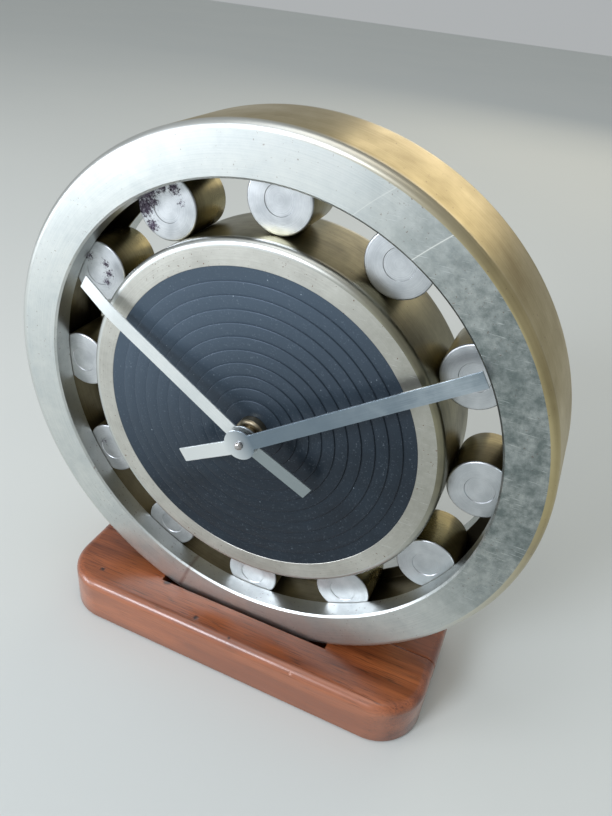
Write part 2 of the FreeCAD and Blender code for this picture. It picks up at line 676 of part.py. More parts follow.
def toothed(module, teeth, phase, front, thickness, place=(0, 0)):
    """A disc with straight-sided teeth, turned clockwise by a phase."""
    pitch = 360 / value(teeth)
    radius = value("%s * %s / 2" % (module, teeth))
    tip = radius + value("%s * tooth_addendum" % module)
    foot = radius - value("%s * tooth_dedendum" % module)
    points = []
    for number in range(int(value(teeth))):
        middle = phase + number * pitch
        corners = ((foot, "-tooth_foot"), (tip, "-tooth_tip"), (tip, "tooth_tip"), (foot, "tooth_foot"))
        for distance, width in corners:
            angle = math.radians(middle + value(width) / 2 * pitch)
            points.append(V(place[0] + distance * math.sin(angle), value(front),
                            place[1] + distance * math.cos(angle)))
    face = Part.Face(Part.makePolygon(points + points[:1]))
    return face.extrude(V(0, value(thickness), 0))


def round_bar(diameter, front, back, place=(0, 0)):
    """A round bar along Y between two places."""
    length = value(back) - value(front)
    return Part.makeCylinder(value(diameter) / 2, length, V(place[0], value(front), place[1]), V(0, 1, 0))


def wheel(label, solids, bores=()):
    """Join a wheel's solids into one piece, less its bores."""
    shape = solids[0].multiFuse(solids[1:]) if len(solids) > 1 else solids[0]
    for bore in bores:
        shape = shape.cut(bore)
    feature = doc.addObject("Part::Feature", label)
    feature.Shape = shape.removeSplitter()
    return keep(feature, label)


AXIS = (0, 0)
MINUTE_WHEEL = beside(AXIS, "motion_module", "cannon_teeth", "minute_wheel_teeth", "minute_wheel_direction")
KNOB = beside(MINUTE_WHEEL, "motion_module", "minute_wheel_teeth", "setting_teeth", "knob_direction")
THIRD = beside(AXIS, "train_module", "centre_teeth", "train_pinion_teeth", "third_direction")
SECOND = beside(THIRD, "train_module", "third_teeth", "train_pinion_teeth", "second_direction")
INTERMEDIATE = beside(SECOND, "train_module", "second_teeth", "train_pinion_teeth", "intermediate_direction")
ROTOR = beside(INTERMEDIATE, "rotor_module", "intermediate_teeth", "train_pinion_teeth", "rotor_direction")

minute_phase = in_mesh(0, "cannon_teeth", "minute_wheel_teeth", "minute_wheel_direction")
hour_phase = in_mesh(0, "minute_pinion_teeth", "hour_wheel_teeth", "minute_wheel_direction + 180")
knob_phase = in_mesh(minute_phase, "minute_wheel_teeth", "setting_teeth", "knob_direction")
third_phase = in_mesh(0, "centre_teeth", "train_pinion_teeth", "third_direction")
second_phase = in_mesh(0, "third_teeth", "train_pinion_teeth", "second_direction")
intermediate_phase = in_mesh(0, "second_teeth", "train_pinion_teeth", "intermediate_direction")
rotor_phase = in_mesh(0, "intermediate_teeth", "train_pinion_teeth", "rotor_direction")

HOUR_PIPE_END = "(-ring_width / 2 - hour_hand_height - hand_thickness / 2)"
ARBOR_END = "(-ring_width / 2 - arbor_reach)"

wheel("hour_wheel", [
    toothed("motion_module", "hour_wheel_teeth", hour_phase, behind("hour_layer"), "hour_wheel_thickness"),
    round_bar("hour_pipe_diameter", HOUR_PIPE_END, behind("hour_layer")),
], [
    round_bar("arbor_diameter + 2 * pivot_play", HOUR_PIPE_END, behind("hour_layer + hour_wheel_thickness")),
])

arbor = round_bar("arbor_diameter", ARBOR_END, behind("minute_layer"))
tip_edge = [edge for edge in arbor.Edges if abs(edge.BoundBox.YMax - value(ARBOR_END)) < 0.001]
wheel("minute_arbor", [
    arbor.makeFillet(value("arbor_rounding"), tip_edge),
    toothed("motion_module", "cannon_teeth", 0, behind("minute_layer"), "wheel_thickness"),
], [
    round_bar("centre_arbor_diameter + 2 * pivot_play",
              behind("minute_layer - friction_length"), behind("minute_layer + wheel_thickness")),
])

wheel("minute_wheel", [
    toothed("motion_module", "minute_wheel_teeth", minute_phase, behind("minute_layer"),
            "wheel_thickness", MINUTE_WHEEL),
    toothed("motion_module", "minute_pinion_teeth", 0, behind("hour_layer"),
            "hour_wheel_thickness", MINUTE_WHEEL),
    round_bar("centre_arbor_diameter", behind("pivot_start"),
              behind("middle_plate_depth + plate_thickness"), MINUTE_WHEEL),
])


def train_wheel(label, place, module, teeth, layer, pinion, arbor_diameter):
    """A wheel and its pinion on an arbor that runs in the middle plate and the bridge."""
    pinion_module, pinion_phase, pinion_layer = pinion
    return wheel(label, [
        toothed(module, teeth, 0, behind(layer), "wheel_thickness", place),
        toothed(pinion_module, "train_pinion_teeth", pinion_phase, behind(pinion_layer),
                "wheel_thickness", place),
        round_bar(arbor_diameter, behind("train_pivot_start"), behind("train_pivot_end"), place),
    ])


wheel("centre_wheel", [
    toothed("train_module", "centre_teeth", 0, behind("centre_layer"), "wheel_thickness"),
    round_bar("centre_arbor_diameter", behind("minute_layer - friction_length + pivot_play"),
              behind("train_pivot_end")),
])
train_wheel("third_wheel", THIRD, "train_module", "third_teeth", "third_layer",
            ("train_module", third_phase, "centre_layer"), "train_arbor_diameter")
train_wheel("second_wheel", SECOND, "train_module", "second_teeth", "second_layer",
            ("train_module", second_phase, "third_layer"), "train_arbor_diameter")
train_wheel("intermediate_wheel", INTERMEDIATE, "rotor_module", "intermediate_teeth", "intermediate_layer",
            ("train_module", intermediate_phase, "second_layer"), "train_arbor_diameter")
wheel("rotor", [
    toothed("rotor_module", "train_pinion_teeth", rotor_phase, behind("intermediate_layer"),
            "wheel_thickness", ROTOR),
    round_bar("magnet_diameter", behind("magnet_depth"), behind("magnet_depth + magnet_thickness"), ROTOR),
    round_bar("rotor_arbor_diameter", behind("train_pivot_start"), behind("train_pivot_end"), ROTOR),
])


def knob_head():
    """The knob that is turned by hand, with flutes round its edge."""
    count = int(value("knob_flutes"))
    radius = value("knob_diameter / 2")
    points = []
    for number in range(2 * count):
        distance = radius if number % 2 else radius - value("knob_flute_depth")
        angle = math.pi * number / count
        points.append(V(KNOB[0] + distance * math.sin(angle), value(behind("case_depth + knob_gap")),
                        KNOB[1] + distance * math.cos(angle)))
    return Part.Face(Part.makePolygon(points + points[:1])).extrude(V(0, value("knob_thickness"), 0))


wheel("setting_knob", [
    toothed("motion_module", "setting_teeth", knob_phase, behind("minute_layer"), "wheel_thickness", KNOB),
    round_bar("knob_shaft_diameter", behind("pivot_start"), behind("case_depth + knob_gap"), KNOB),
    knob_head(),
])

# The movement's case and plates

PILLARS = ((-8, -6.5), (16.5, -6.5), (16.8, 17.5), (-17.5, 12))
POSTS = ((-8, -6.5), (16.5, -6.5), (16.8, 17.5), (-8.2, 8.5))
BOARD_POSTS = ((-24, 8), (-24, 23))
ROUNDED = "case_rounding"


def case_block(front, back):
    """The outside of one half of the case, with rounded corners."""
    block = box_of("-" + CASE_HALF, CASE_HALF, front, back, "-" + CASE_HALF, CASE_HALF)
    doc.recompute()
    fillet = doc.addObject("Part::Fillet", "Corners")
    fillet.Base = block
    radius = value(ROUNDED)
    chosen = [number for number, edge in enumerate(block.Shape.Edges, start=1)
              if abs(edge.BoundBox.YLength - edge.Length) < 0.001]
    fillet.Edges = [(number, radius, radius) for number in chosen]
    return fillet


INSIDE = "(-%s)" % CASE_INSIDE
BAY_FLOOR = "(bay_top - bay_wall)"
train_room = (INSIDE, CASE_INSIDE, "bay_top", CASE_INSIDE)
battery_room = (INSIDE, CASE_INSIDE, INSIDE, BAY_FLOOR)


def room(sides, front, back):
    return box_of(sides[0], sides[1], front, back, sides[2], sides[3])


shell = cut(case_block(CASE_FRONT, behind("case_split")), [
    room(train_room, behind("case_wall"), behind("case_split")),
    room(battery_room, behind("case_wall"), behind("case_split")),
])
saddles = []
for side in (-1, 1):
    saddles.append(box_of(
        "%d * saddle_place - saddle_thickness / 2" % side,
        "%d * saddle_place + saddle_thickness / 2" % side,
        behind("case_wall"), behind("case_wall + saddle_depth"), INSIDE, BAY_FLOOR))
pillars = square_posts(PILLARS, "pillar_width", behind("case_wall"), behind("middle_plate_depth"))
board_posts = square_posts(BOARD_POSTS, "post_width", behind("case_wall"), behind("board_depth"))
front_case = cut(fused([shell] + saddles + pillars + board_posts), [
    rod_of("bush_diameter", CASE_FRONT, behind("case_wall")),
    rod_of("centre_arbor_diameter + 2 * pivot_play", behind("pivot_start"), behind("case_wall"),
           *MINUTE_WHEEL),
    rod_of("knob_shaft_diameter + 2 * pivot_play", behind("pivot_start"), behind("case_wall"), *KNOB),
    crosswise_rod("battery_diameter + 2 * pivot_play", INSIDE, CASE_INSIDE,
                  behind("battery_depth"), "battery_height"),
])
keep(front_case, "movement_front_case")

back_cover = cut(case_block(behind("case_split"), behind("case_depth")), [
    room(train_room, behind("case_split"), behind("case_depth - case_wall")),
    room(battery_room, behind("case_split"), behind("case_depth")),
    rod_of("knob_shaft_diameter + 2 * pivot_play",
           behind("case_depth - case_wall"), behind("case_depth"), *KNOB),
])
keep(back_cover, "movement_back_cover")


def pivot_holes(diameter, places, front, back):
    return [rod_of("%s + 2 * pivot_play" % diameter, front, back, x, z) for x, z in places]


plate_back = behind("middle_plate_depth + plate_thickness")
plate = box_of("plate_left", "plate_right", behind("middle_plate_depth"), plate_back,
               "plate_bottom", "plate_top")
posts = square_posts(POSTS, "post_width", plate_back, behind("bridge_depth"))
keep(cut(fused([plate] + posts),
         pivot_holes("centre_arbor_diameter", (AXIS, MINUTE_WHEEL), behind("middle_plate_depth"), plate_back)
         + pivot_holes("train_arbor_diameter", (THIRD, SECOND, INTERMEDIATE),
                       behind("middle_plate_depth"), plate_back)
         + pivot_holes("rotor_arbor_diameter", (ROTOR,), behind("middle_plate_depth"), plate_back)
         + pivot_holes("knob_shaft_diameter", (KNOB,), behind("middle_plate_depth"), plate_back)),
     "middle_plate")

bridge_back = behind("bridge_depth + plate_thickness")
bridge = box_of("bridge_left", "bridge_right", behind("bridge_depth"), bridge_back,
                "plate_bottom", "plate_top")
keep(cut(bridge,
         pivot_holes("centre_arbor_diameter", (AXIS,), behind("bridge_depth"), bridge_back)
         + pivot_holes("train_arbor_diameter", (THIRD, SECOND, INTERMEDIATE),
                       behind("bridge_depth"), bridge_back)
         + pivot_holes("rotor_arbor_diameter", (ROTOR,), behind("bridge_depth"), bridge_back)),
     "train_bridge")

# The motor: a stator round the rotor's magnet, and a coil on a core across its arms

STATOR_BACK = "stator_depth + stator_thickness"
band = box_of("stator_left", "stator_right", behind("stator_depth"), behind(STATOR_BACK),
              "stator_bottom", "stator_band_top")
left_arm = box_of("stator_left", "stator_left + stator_arm", behind("stator_depth"), behind(STATOR_BACK),
                  "stator_bottom", "stator_top")
right_arm = box_of("stator_right - stator_arm", "stator_right", behind("stator_depth"), behind(STATOR_BACK),
                   "stator_bottom", "stator_top")
keep(cut(fused([band, left_arm, right_arm]), [
    rod_of("magnet_diameter + 2 * stator_air_gap", behind("stator_depth"), behind(STATOR_BACK), *ROTOR),
    rod_of("2 * stator_notch", behind("stator_depth"), behind(STATOR_BACK), *INTERMEDIATE),
    rod_of("2 * stator_notch", behind("stator_depth"), behind(STATOR_BACK), *SECOND),
]), "stator")


def core_solid(grow):
    """The coil's core, or with a clearance the slot for it."""
    return box_of("stator_left", "stator_right",
                  behind("stator_depth - stator_thickness - %s" % grow), behind("stator_depth + %s" % grow),
                  "coil_height - core_width / 2 - %s" % grow, "coil_height + core_width / 2 + %s" % grow)


COIL_DEPTH = behind("stator_depth - stator_thickness / 2")
keep(core_solid("0"), "coil_core")
keep(cut(fused([
    crosswise_rod("bobbin_tube_diameter", "bobbin_left", "bobbin_right", COIL_DEPTH, "coil_height"),
    crosswise_rod("bobbin_flange_diameter", "bobbin_left", "bobbin_left + bobbin_flange_thickness",
                  COIL_DEPTH, "coil_height"),
    crosswise_rod("bobbin_flange_diameter", "bobbin_right - bobbin_flange_thickness", "bobbin_right",
                  COIL_DEPTH, "coil_height"),
]), [core_solid("0.02")]), "coil_bobbin")
WINDING_ENDS = ("bobbin_left + bobbin_flange_thickness", "bobbin_right - bobbin_flange_thickness")
keep(cut(crosswise_rod("winding_diameter", *WINDING_ENDS, COIL_DEPTH, "coil_height"), [
    crosswise_rod("bobbin_tube_diameter", *WINDING_ENDS, COIL_DEPTH, "coil_height"),
]), "coil_winding")

keep(box_of("board_left", "board_right", behind("board_depth"), behind("board_depth + board_thickness"),
            "board_bottom", "board_top"), "circuit_board")
crystal = doc.addObject("Part::Cylinder", "Crystal")
crystal.setExpression("Radius", bound("crystal_diameter / 2"))
crystal.setExpression("Height", bound("crystal_length"))
crystal.setExpression(".Placement.Base.x", bound("crystal_place"))
CRYSTAL_DEPTH = behind("board_depth + board_thickness + crystal_diameter / 2")
crystal.setExpression(".Placement.Base.y", bound(CRYSTAL_DEPTH))
crystal.setExpression(".Placement.Base.z", bound("crystal_bottom"))
keep(crystal, "quartz_crystal")

# The cell and its two contacts

BUTTON_END = "(%s - contact_thickness)" % CASE_INSIDE
BODY_END = "(%s - battery_button_length)" % BUTTON_END
BODY_START = "(%s - battery_body_length)" % BODY_END
CELL_DEPTH = behind("battery_depth")
keep(fused([
    crosswise_rod("battery_diameter", BODY_START, BODY_END, CELL_DEPTH, "battery_height"),
    crosswise_rod("battery_button_diameter", BODY_END, BUTTON_END, CELL_DEPTH, "battery_height"),
]), "battery")


def contact_plate(x_low, x_high):
    return box_of(x_low, x_high, "%s - contact_width / 2" % CELL_DEPTH, "%s + contact_width / 2" % CELL_DEPTH,
                  "battery_height - contact_width / 2", "battery_height + contact_width / 2")


keep(contact_plate(BUTTON_END, CASE_INSIDE), "battery_contact_positive")
keep(fused([
    contact_plate(INSIDE, "%s + contact_thickness" % INSIDE),
    crosswise_rod("contact_dome_diameter", "%s + contact_thickness" % INSIDE, BODY_START,
                  CELL_DEPTH, "battery_height"),
]), "battery_contact_negative")

doc.recompute()

# Check every object and every solid, then write each piece to its own file

for item in doc.Objects:
    if "Invalid" in item.State or "Error" in item.State:
        raise RuntimeError("%s failed: %s" % (item.Label, item.State))
for piece in PARTS:
    if piece.Shape.isNull() or not piece.Shape.isValid() or piece.Shape.Volume <= 0:
        raise RuntimeError("%s has no valid solid" % piece.Label)

os.makedirs("parts", exist_ok=True)
for piece in PARTS:
    piece.Shape.exportStep("parts/%s.step" % piece.Label)
print("%d pieces written" % len(PARTS))
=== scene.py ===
# %% [markdown]
# # A desk clock made from a roller bearing
# A workshop clock: a large cylindrical roller bearing stands on a wooden base, its twelve rollers
# mark the hours, and a stepped black dial in its bore carries two aluminium hands. The construction
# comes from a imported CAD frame, and this file gives every piece its shape to the eye and its finish.

# %% Load the frame
import math
import random

import bmesh
import bpy
import numpy as np
from mathutils import Matrix, Vector


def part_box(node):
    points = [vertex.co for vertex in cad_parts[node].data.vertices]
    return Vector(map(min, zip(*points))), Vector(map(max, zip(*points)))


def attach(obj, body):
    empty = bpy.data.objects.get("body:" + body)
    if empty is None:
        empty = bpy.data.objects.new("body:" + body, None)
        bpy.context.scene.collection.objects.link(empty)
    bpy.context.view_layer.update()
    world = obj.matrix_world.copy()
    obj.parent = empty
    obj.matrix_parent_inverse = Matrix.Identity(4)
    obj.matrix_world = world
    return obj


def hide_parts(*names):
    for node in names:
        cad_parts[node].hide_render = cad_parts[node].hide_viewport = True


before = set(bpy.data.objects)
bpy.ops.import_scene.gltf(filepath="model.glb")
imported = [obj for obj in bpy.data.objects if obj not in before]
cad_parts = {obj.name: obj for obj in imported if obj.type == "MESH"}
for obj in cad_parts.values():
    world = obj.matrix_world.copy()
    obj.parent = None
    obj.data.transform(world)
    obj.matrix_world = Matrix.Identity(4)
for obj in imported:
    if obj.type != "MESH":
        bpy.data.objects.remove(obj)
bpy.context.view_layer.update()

MM = 0.001

# %% [markdown]
# ## Camera
# The picture was taken by hand, from the right and well above the clock. The place, the three
# angles and the lens were worked out from circles of known size: the ring's edges and the rollers.

# %% Camera
CAMERA_PLACE = (0.09624, -0.22367, 0.28978)
HEADING = 20.25  # degrees to the left of straight back
PITCH = -33.09   # degrees below level
ROLL = 6.40      # degrees, camera leaning to the right
LENS = 30.59     # mm, for a sensor 36 mm along the picture's longer side

camera = bpy.data.objects.new("camera", bpy.data.cameras.new("camera"))
camera.data.lens = LENS
camera.data.sensor_width = 36
camera.data.clip_start = 0.01
camera.matrix_world = (
    Matrix.Translation(CAMERA_PLACE)
    @ Matrix.Rotation(math.radians(HEADING), 4, "Z")
    @ Matrix.Rotation(math.radians(90 + PITCH), 4, "X")
    @ Matrix.Rotation(math.radians(ROLL), 4, "Z")
)
bpy.context.scene.collection.objects.link(camera)
bpy.context.scene.camera = camera
bpy.context.scene.view_settings.view_transform = "Standard"
print("camera", [round(x, 3) for x in camera.location])

# %% [markdown]
# ## Helpers for materials
# Colours are written as the hex codes that a painter would pick on a screen, and one function
# turns them into the linear numbers that the shader works with. Another adds any node, sets it
# and links what feeds it, so that a material reads as a list of what happens to the light.

# %% Helpers for materials
# The kinds of node that come most often. A mix node that blends colours takes the amount at input
# 0, the first colour at 6 and the second at 7, and gives the blend at output 2.
MATH = "ShaderNodeMath"
VECTOR_MATH = "ShaderNodeVectorMath"
RANGE = "ShaderNodeMapRange"
NOISE = "ShaderNodeTexNoise"
MIX = "ShaderNodeMix"
PARTS = "ShaderNodeSeparateXYZ"
BUMP = "ShaderNodeBump"


def colour(code):
    """The linear colour of an sRGB hex code."""
    parts = [int(code[place:place + 2], 16) / 255 for place in (1, 3, 5)]
    linear = [part / 12.92 if part <= 0.04045 else ((part + 0.055) / 1.055) ** 2.4 for part in parts]
    return (*linear, 1)


def add(tree, kind, inputs=None, output=0, **settings):
    """Add a node, set it up, feed its inputs with numbers, hex codes or sockets, and give one output."""
    node = tree.nodes.new(kind)
    for name, setting in settings.items():
        setattr(node, name, setting)
    for name, given in (inputs or {}).items():
        if isinstance(given, bpy.types.NodeSocket):
            tree.links.new(given, node.inputs[name])
        else:
            is_code = isinstance(given, str) and given.startswith("#")
            node.inputs[name].default_value = colour(given) if is_code else given
    return node.outputs[output] if len(node.outputs) else node


def new_material(name, **constants):
    """A material and its tree, with what is the same all over set on the shader itself."""
    made = bpy.data.materials.new(name)
    made.use_nodes = True
    shader = made.node_tree.nodes["Principled BSDF"]
    for socket, given in constants.items():
        shader.inputs[socket.replace("_", " ")].default_value = given
    return made, made.node_tree


def fed(made, **feeds):
    """A material, once its shader is fed with what varies."""
    shader = made.node_tree.nodes["Principled BSDF"]
    for socket, given in feeds.items():
        made.node_tree.links.new(given, shader.inputs[socket.replace("_", " ")])
    return made


def own_place(tree, low=(0, 0, 0), scale=(1, 1, 1), turn=(0, 0, 0)):
    """Where a point lies on the object, in mm, from a chosen place, stretched and turned."""
    seen = add(tree, "ShaderNodeTexCoord", output="Object")
    size = [factor / MM for factor in scale]
    back = [-factor * part / MM for factor, part in zip(scale, low)]
    return add(tree, "ShaderNodeMapping", {"Vector": seen, "Location": back, "Scale": size, "Rotation": turn})


# %% [markdown]
# ## Measures from the frame
# Everything round goes about the clock's axis, which runs front to back. Its height, the rings'
# radii and the rollers' circle are read from the CAD pieces, so nothing is fitted by eye.

# %% Measures from the frame
ring_low, ring_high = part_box("outer_ring")
AXIS_HEIGHT = (ring_low.z + ring_high.z) / 2
RING_HALF = (ring_high.y - ring_low.y) / 2
CENTRE = (0, 0, AXIS_HEIGHT)


def reach(node):
    """A CAD node's least and greatest distance from the clock's axis."""
    points = np.array([vertex.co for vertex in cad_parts[node].data.vertices])
    distance = np.hypot(points[:, 0], points[:, 2] - AXIS_HEIGHT)
    return distance.min(), distance.max()


RIB_BORE, RING_RADIUS = reach("outer_ring")
BORE, INNER_TRACK = reach("inner_ring")
roller_low, roller_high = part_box("roller_12")
ROLLER_RADIUS = (roller_high.x - roller_low.x) / 2
ROLLER_HALF = (roller_high.y - roller_low.y) / 2
PITCH_RADIUS = (roller_low.z + roller_high.z) / 2 - AXIS_HEIGHT
CLEARANCE = 0.03 * MM
OUTER_TRACK = PITCH_RADIUS + ROLLER_RADIUS + CLEARANCE
print("axis at", round(AXIS_HEIGHT / MM, 2), "mm, ring", round(RING_RADIUS / MM, 2), "mm, rollers on",
      round(PITCH_RADIUS / MM, 2), "mm")

# %% [markdown]
# ## Ground bearing steel
# The rings are hardened chrome steel. Their side faces were ground flat, which leaves a pale satin
# grey with fine lines that run round the ring, and years of handling add hairlines, grey patches
# and small brown specks of rust. Two hairlines and one rust line are long enough to be seen apart.


# %% Ground bearing steel
def from_axis(tree, place):
    """A place's distance from the Y axis."""
    flat = add(tree, VECTOR_MATH, {0: place, 1: (1, 0, 1)}, operation="MULTIPLY")
    return add(tree, VECTOR_MATH, {0: flat}, "Value", operation="LENGTH")


def clock_angle(tree, place):
    """A place's angle round the Y axis, from twelve o'clock and clockwise, up to half a turn each way."""
    across, _, up = add(tree, PARTS, {0: place}).node.outputs
    return add(tree, MATH, {0: across, 1: up}, operation="ARCTAN2")


def hairline(tree, angle, radius, middle, lean, width):
    """A line across the ring at a clock angle in degrees, leaning by degrees for each mm outwards,
    with a width in mm where the face lies about 100 mm from the axis."""
    rib_bore = RIB_BORE / MM
    inputs = {0: radius, 1: math.radians(lean), 2: math.radians(middle - rib_bore * lean)}
    leant = add(tree, MATH, inputs, operation="MULTIPLY_ADD")
    away = add(tree, MATH, {0: angle, 1: leant}, operation="SUBTRACT")
    away = add(tree, MATH, {0: away}, operation="ABSOLUTE")
    return add(tree, RANGE, {0: away, 1: 0, 2: width / 100, 3: 1, 4: 0})


def right_side(tree, angle, start, end, least=0.0, most=1.0, earlier=0.0):
    """How far to the clock's right a point is: least up to one sine of its clock angle, most from
    another. The middle may come so many radians earlier than three o'clock."""
    turned_on = add(tree, MATH, {0: angle, 1: earlier}, operation="ADD")
    sine = add(tree, MATH, {0: turned_on}, operation="SINE")
    return add(tree, RANGE, {0: sine, 1: start, 2: end, 3: least, 4: most})


def ground_steel(name, pale, grey, shade_tint, speck_amount, marks=False):
    """A ground side face: pale and grey in patches, with painted shade on the right-hand side."""
    made, tree = new_material(name, Metallic=1)
    place = own_place(tree, CENTRE)
    radius = from_axis(tree, place)
    angle = clock_angle(tree, place)
    patches = add(tree, NOISE, {"Vector": place, "Scale": 0.06, "Detail": 6, "Roughness": 0.65})
    rings = add(tree, "ShaderNodeCombineXYZ", {0: radius, 1: angle})
    lines = add(tree, NOISE, {"Vector": rings, "Scale": 2.4, "Detail": 3})
    tone = add(tree, MATH, {0: patches, 1: 0.75}, operation="MULTIPLY")
    tone = add(tree, MATH, {0: lines, 1: 0.3, 2: tone}, operation="MULTIPLY_ADD")
    tone = add(tree, RANGE, {0: tone, 1: 0.4, 2: 0.68})
    metal = add(tree, MIX, {0: tone, 6: pale, 7: grey}, 2, data_type="RGBA")
    # Painted shade: the right-hand side, above all at two and three, is painted darker and cloudy, where the
    # face lies in shade.
    mottle = add(tree, NOISE, {"Vector": place, "Scale": 0.22, "Detail": 6, "Roughness": 0.7})
    mottle = add(tree, RANGE, {0: mottle, 1: 0.3, 2: 0.62, 3: 0.45, 4: 1})
    right_shade_and_wear = right_side(tree, angle, 0.52, 0.92, earlier=0.3)
    painted_shade = add(tree, MATH, {0: right_shade_and_wear, 1: mottle}, operation="MULTIPLY")
    metal = add(tree, MIX, {0: painted_shade, 6: metal, 7: shade_tint}, 2, data_type="RGBA")
    # Hairlines from handling, in two directions, each about 0.3 mm wide and up to 12 mm long.
    scratches = 0
    for turn in (0.5, 2.3):
        long_way = own_place(tree, CENTRE, (0.09, 1, 2.2), (0, turn, 0))
        found = add(tree, NOISE, {"Vector": long_way, "Scale": 1.3, "Detail": 1})
        found = add(tree, RANGE, {0: found, 1: 0.68, 2: 0.75})
        scratches = add(tree, MATH, {0: found, 1: scratches}, operation="MAXIMUM")
    share = add(tree, RANGE, {0: right_shade_and_wear, 3: 0.25, 4: 0.5})
    scratches = add(tree, MATH, {0: scratches, 1: share}, operation="MULTIPLY")
    metal = add(tree, MIX, {0: scratches, 6: metal, 7: "#eef0ee"}, 2, data_type="RGBA")
    # Rust specks about 1 mm across, which gather in some places and leave others clean.
    grains = add(tree, NOISE, {"Vector": place, "Scale": 0.9, "Detail": 2})
    crowd = add(tree, NOISE, {"Vector": place, "Scale": 0.045, "Detail": 1})
    crowd = add(tree, RANGE, {0: crowd, 1: 0.3, 2: 0.7, 3: 0.02, 4: -0.045})
    specks = add(tree, MATH, {0: grains, 1: crowd}, operation="SUBTRACT")
    specks = add(tree, RANGE, {0: specks, 1: 0.69, 2: 0.74, 4: speck_amount})
    metal = add(tree, MIX, {0: specks, 6: metal, 7: "#6b4a36"}, 2, data_type="RGBA")
    rough = add(tree, RANGE, {0: tone, 3: 0.34, 4: 0.46})
    if marks:
        for middle, lean, share in ((31.1, 0.14, 0.8), (17.3, 0.3, 0.35)):
            line = hairline(tree, angle, radius, middle, lean, 0.3)
            line = add(tree, MATH, {0: line, 1: share}, operation="MULTIPLY")
            metal = add(tree, MIX, {0: line, 6: metal, 7: "#f4f4ee"}, 2, data_type="RGBA")
        # The rust line stands at half past six.
        rust = hairline(tree, angle, radius, 197.7 - 360, 0.02, 1.3)
        rust = add(tree, MATH, {0: rust, 1: patches}, operation="MULTIPLY")
        metal = add(tree, MIX, {0: rust, 6: metal, 7: "#7a4a38"}, 2, data_type="RGBA")
    height = add(tree, MATH, {0: specks, 1: -1.5, 2: lines}, operation="MULTIPLY_ADD")
    bump = add(tree, BUMP, {"Height": height, "Strength": 0.25, "Distance": 0.02 * MM})
    return fed(made, Base_Color=metal, Roughness=rough, Normal=bump)


ring_face_steel = ground_steel("ground_steel_outer_face", "#dadcd8", "#bfc4c2", "#727b79", 0.55, marks=True)
inner_face_steel = ground_steel("ground_steel_inner_face", "#d2d0c8", "#b4b2aa", "#a8a69c", 1.0)
print("made", ring_face_steel.name, "and", inner_face_steel.name)

# %% [markdown]
# ## Browned steel
# The round surfaces were ground too, and the oil that dried on them has browned: the outside of the
# ring is a clear straw gold, and the tracks that the rollers ran on are a deeper brown. The rounded
# edges beside the faces have been rubbed bright again; from one o'clock to half past three they are
# left gold as a painted reflection of warm light.


# %% Browned steel
def browned_steel(name, straw, brown, roughness, rubbed=None):
    """Steel that wanders from straw to brown; rubbed gives where the bright edge starts and ends."""
    made, tree = new_material(name, Metallic=1)
    place = own_place(tree, CENTRE)
    clouds = add(tree, NOISE, {"Vector": place, "Scale": 0.035, "Detail": 5, "Roughness": 0.6})
    round_lines = own_place(tree, CENTRE, (0.02, 1.6, 0.02))
    lines = add(tree, NOISE, {"Vector": round_lines, "Scale": 1, "Detail": 3})
    tone = add(tree, MATH, {0: lines, 1: 0.3, 2: clouds}, operation="MULTIPLY_ADD")
    tone = add(tree, RANGE, {0: tone, 1: 0.48, 2: 0.85})
    metal = add(tree, MIX, {0: tone, 6: straw, 7: brown}, 2, data_type="RGBA")
    grains = add(tree, NOISE, {"Vector": place, "Scale": 0.7, "Detail": 2})
    specks = add(tree, RANGE, {0: grains, 1: 0.72, 2: 0.77, 4: 0.7})
    metal = add(tree, MIX, {0: specks, 6: metal, 7: "#5a3a26"}, 2, data_type="RGBA")
    if rubbed:
        depth = add(tree, PARTS, {0: place}, 1)
        depth = add(tree, MATH, {0: depth}, operation="ABSOLUTE")
        bright = add(tree, RANGE, {0: depth, 1: rubbed[0], 2: rubbed[1]})
        # Painted reflection: from one o'clock to half past three the edge is left brown, as warm light
        # reflects there; elsewhere it is rubbed bright.
        share = right_side(tree, clock_angle(tree, place), 0.45, 0.92, 1.0, 0.1, earlier=0.45)
        bright = add(tree, MATH, {0: bright, 1: share}, operation="MULTIPLY")
        metal = add(tree, MIX, {0: bright, 6: metal, 7: "#cfd1cd"}, 2, data_type="RGBA")
    rough = add(tree, RANGE, {0: tone, 3: roughness, 4: roughness + 0.12})
    bump = add(tree, BUMP, {"Height": lines, "Strength": 0.2, "Distance": 0.02 * MM})
    return fed(made, Base_Color=metal, Roughness=rough, Normal=bump)


cylinder_steel = browned_steel("straw_browned_steel", "#b9a878", "#958353", 0.3, (15.5, 18.2))
lead_on_steel = browned_steel("oil_browned_inner_steel", "#8f896a", "#615c48", 0.3, (16.0, 18.0))
track_steel = browned_steel("oil_browned_track_steel", "#857d66", "#5d5848", 0.32)
print("made", cylinder_steel.name, "and", track_steel.name)

# %% [markdown]
# ## Turned pieces
# A ring is a section turned about an axis. A modeller could use the Spin tool or a Screw modifier;
# here a short function places the section's points at every angle, because each stretch of the
# section then takes its own finish, and the seam closes on itself with no doubled points.


# %% A lathe
NEAR = 1e-9        # metres, like the next two: lengths that differ by less are the same
WELD = 1e-7        # vertices closer than this are merged
LOOSE_WELD = 1e-6  # and closer than this, where two meshes meet or a CAD mesh comes in


def finished(name, bm, materials, body, *nodes, sharp=32):
    """Turn a bmesh into a finished piece: smooth faces, sharp edges, its body and its CAD nodes."""
    bmesh.ops.remove_doubles(bm, verts=bm.verts, dist=WELD)
    bmesh.ops.recalc_face_normals(bm, faces=bm.faces)
    mesh = bpy.data.meshes.new(name)
    bm.to_mesh(mesh)
    bm.free()
    for material in materials:
        mesh.materials.append(material)
    mesh.shade_smooth()
    mesh.set_sharp_from_angle(angle=math.radians(sharp))
    piece = bpy.data.objects.new(name, mesh)
    bpy.context.scene.collection.objects.link(piece)
    if body:
        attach(piece, body)
    if nodes:
        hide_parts(*nodes)
    return piece


